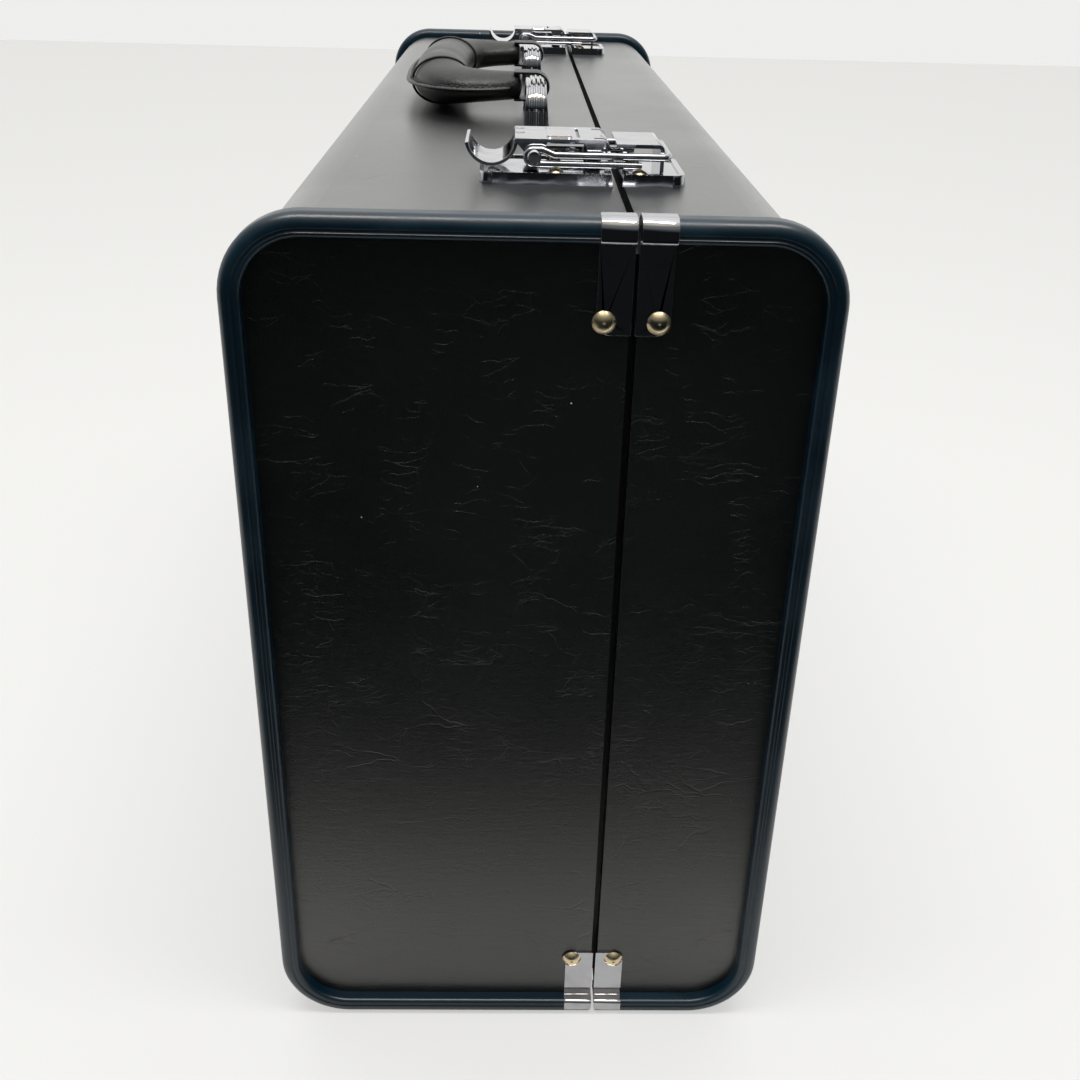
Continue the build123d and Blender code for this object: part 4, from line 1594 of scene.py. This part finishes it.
@dataclass
class Studio:
    """Floor, light and camera.

    Args:
        eye: the camera's place in millimetres.
        turn: its azimuth, tilt from straight down and roll, in degrees.
        lens: focal length in millimetres on a 36 mm sensor.
        sensor: width of the sensor in millimetres.
        floor_reach: front and back edge of the floor in metres.
        floor_half: half its width.
        floor_tint: its colour.
        floor_roughness: its roughness.
        floor_clear: how much of what hangs below it shows through, such as the lid when it is open.
        flag: where the floor in front starts and ends to turn into a painted dark reflection. Glossy rays see
            it near black there, as they would a black card.
        painted_dark_reflection_tint: colour of that painted dark reflection, an emission that only glossy
            rays see past the flag.
        glow: strength of the pale surroundings behind.
        glow_low: their strength close to the horizon.
        glow_above: strength of the ceiling.
        glow_front: strength of the dim room behind the camera.
        glow_dark: strength of that room near the ground.
        turn_band: from where to where the front turns into the back, by the Y of the direction.
        low_band: where the horizon's strength ends, and the next three bands, by the Z of the direction.
        above_band: where the ceiling starts.
        front_band: where the room in front brightens.
        warm_band: where it turns warm.
        cool_tint: colour of that room's lower part.
        warm_tint: colour of its upper part.
        rear_tint: colour of the surroundings behind.
        backdrop_tint: colour of the wall that the camera sees.
        backdrop: strength of that wall.
        lamps: the lights overhead.
    """

    eye: tuple[float, float, float] = (-7.0, -606.9, 367.9)
    turn: tuple[float, float, float] = (-1.777, 62.673, 1.612)
    lens: float = 40.547
    sensor: float = 36.0
    floor_reach: tuple[float, float] = (-0.95, 3.2)
    floor_half: float = 2.2
    floor_tint: tuple[float, float, float] = (0.77, 0.772, 0.77)
    floor_roughness: float = 0.6
    floor_clear: float = 0.6
    flag: tuple[float, float] = (-0.31, -0.43)
    painted_dark_reflection_tint: tuple[float, float, float] = (0.005, 0.008, 0.011)
    glow: float = 0.82
    glow_low: float = 0.96
    glow_above: float = 1.1
    glow_front: float = 0.26
    glow_dark: float = 0.012
    turn_band: tuple[float, float] = (-0.3, 0.3)
    low_band: tuple[float, float] = (0.16, 0.4)
    above_band: tuple[float, float] = (0.5, 0.95)
    front_band: tuple[float, float] = (0.08, 0.6)
    warm_band: tuple[float, float] = (0.55, 0.8)
    cool_tint: tuple[float, float, float] = (0.90, 0.97, 1.0)
    warm_tint: tuple[float, float, float] = (1.0, 0.90, 0.74)
    rear_tint: tuple[float, float, float] = (1.0, 0.997, 0.975)
    backdrop_tint: tuple[float, float, float] = (1.0, 0.998, 0.992)
    backdrop: float = 0.86
    lamps: tuple[Lamp, ...] = (
        Lamp("overhead", (0.0, 1.8, 2.4), (4.2, 3.6), 20.0),
        Lamp("front", (0.0, -0.42, 1.6), (1.4, 0.3), 17.0),
    )

    def build_camera(self) -> None:
        """Camera at the photograph's viewing angle."""
        data = bpy.data.cameras.new("camera")
        data.lens = self.lens
        data.sensor_width = self.sensor
        data.clip_start = 0.01
        camera = bpy.data.objects.new("camera", data)
        placed = Matrix.Translation(Vector(self.eye) * MM)
        for angle, axis in zip(self.turn, "ZXZ"):
            placed = placed @ Matrix.Rotation(math.radians(angle), 4, axis)
        camera.matrix_world = placed
        bpy.context.scene.collection.objects.link(camera)
        bpy.context.scene.camera = camera

    def build_floor(self) -> None:
        """Plain pale floor, partly see-through to the camera, with a painted dark reflection in front that
        only glossy rays see.
        """
        front, back = self.floor_reach
        bm = bmesh.new()
        place = Matrix.Translation((0, (front + back) / 2, 0))
        size = Matrix.Diagonal((self.floor_half, (back - front) / 2, 1, 1))
        bmesh.ops.create_grid(bm, x_segments=1, y_segments=1, size=1.0, matrix=place @ size)
        mesh = bpy.data.meshes.new("floor")
        bm.to_mesh(mesh)
        bm.free()
        floor = bpy.data.objects.new("floor", mesh)
        made = bpy.data.materials.new("floor")
        made.use_nodes = True
        graph = Graph(made.node_tree)
        shader = made.node_tree.nodes["Principled BSDF"]
        shader.inputs["Base Color"].default_value = color(self.floor_tint)
        shader.inputs["Roughness"].default_value = self.floor_roughness
        across = graph.add("ShaderNodeTexCoord").outputs["Object"]
        # Painted dark reflection: past the flag, glossy rays see a near-black emission instead of the lit
        # floor.
        far_out = graph.remap(graph.add("ShaderNodeSeparateXYZ", {0: across}).outputs[1], *self.flag)
        path = graph.add("ShaderNodeLightPath").outputs
        dark = graph.add("ShaderNodeEmission", {"Color": color(self.painted_dark_reflection_tint), "Strength": 1.0})
        painted_dark_share = graph.calc("MULTIPLY", far_out, path["Is Glossy Ray"])
        shown = graph.add("ShaderNodeMixShader", {0: painted_dark_share, 1: shader.outputs[0], 2: dark.outputs[0]})
        under = graph.add("ShaderNodeNewGeometry").outputs["Backfacing"]
        sheer = graph.calc("MULTIPLY", path["Is Camera Ray"], self.floor_clear)
        inputs = {0: graph.calc("MAXIMUM", under, sheer), 1: shown.outputs[0]}
        inputs[2] = graph.add("ShaderNodeBsdfTransparent").outputs[0]
        floor_shader = graph.add("ShaderNodeMixShader", inputs)
        graph.feed(made.node_tree.nodes["Material Output"].inputs["Surface"], floor_shader.outputs[0])
        mesh.materials.append(made)
        bpy.context.scene.collection.objects.link(floor)

    def build_world(self) -> None:
        """Pale surroundings: bright behind and above, dark in front."""
        world = bpy.data.worlds.new("studio")
        world.use_nodes = True
        world.node_tree.nodes.clear()
        graph = Graph(world.node_tree)
        direction = graph.add("ShaderNodeTexCoord").outputs["Generated"]
        parts = graph.add("ShaderNodeSeparateXYZ", {0: direction}).outputs
        behind = graph.remap(parts[1], *self.turn_band)
        low_down = graph.remap(parts[2], *self.low_band, self.glow_low, self.glow)
        above = graph.remap(parts[2], *self.above_band, 0.0, self.glow_above)
        ahead = graph.remap(parts[2], *self.front_band, self.glow_dark, self.glow_front)
        rear = graph.calc("MULTIPLY", behind, low_down)
        level = graph.calc("MAXIMUM", rear, graph.calc("MAXIMUM", above, ahead))
        warmth = graph.remap(parts[2], *self.warm_band)
        dim = graph.mix(warmth, color(self.cool_tint), color(self.warm_tint))
        tint = graph.mix(behind, dim, color(self.rear_tint))
        room = graph.add("ShaderNodeBackground", {"Color": tint, "Strength": level})
        plain = {"Color": color(self.backdrop_tint), "Strength": self.backdrop}
        backdrop = graph.add("ShaderNodeBackground", plain)
        seen = graph.add("ShaderNodeLightPath").outputs["Is Camera Ray"]
        mixed = graph.add("ShaderNodeMixShader", {0: seen, 1: room.outputs[0], 2: backdrop.outputs[0]})
        output = graph.add("ShaderNodeOutputWorld")
        graph.feed(output.inputs["Surface"], mixed.outputs[0])
        bpy.context.scene.world = world

    def build_lights(self) -> None:
        """Large soft lights overhead."""
        for lamp in self.lamps:
            data = bpy.data.lights.new(lamp.name, "AREA")
            data.shape = "RECTANGLE"
            data.size, data.size_y = lamp.size
            data.energy = lamp.power
            placed = bpy.data.objects.new(lamp.name, data)
            placed.matrix_world = Matrix.Translation(lamp.place)
            bpy.context.scene.collection.objects.link(placed)

    def build(self) -> None:
        """Set up everything round the object, with plain colours in the picture."""
        bpy.context.scene.view_settings.view_transform = "Standard"
        self.build_camera()
        self.build_floor()
        self.build_world()
        self.build_lights()


def main() -> None:
    """Dress the frame, build the soft pieces and set up the studio."""
    logging.basicConfig(level=logging.INFO)
    studio = Studio()
    studio.build()
    for assembly in (Shells(), BeadClips(), DrawLatches(), CaseHinges()):
        assembly.dress()
    Handle().build()
    PlushInterior().build_all()


if __name__ == "__main__":
    main()
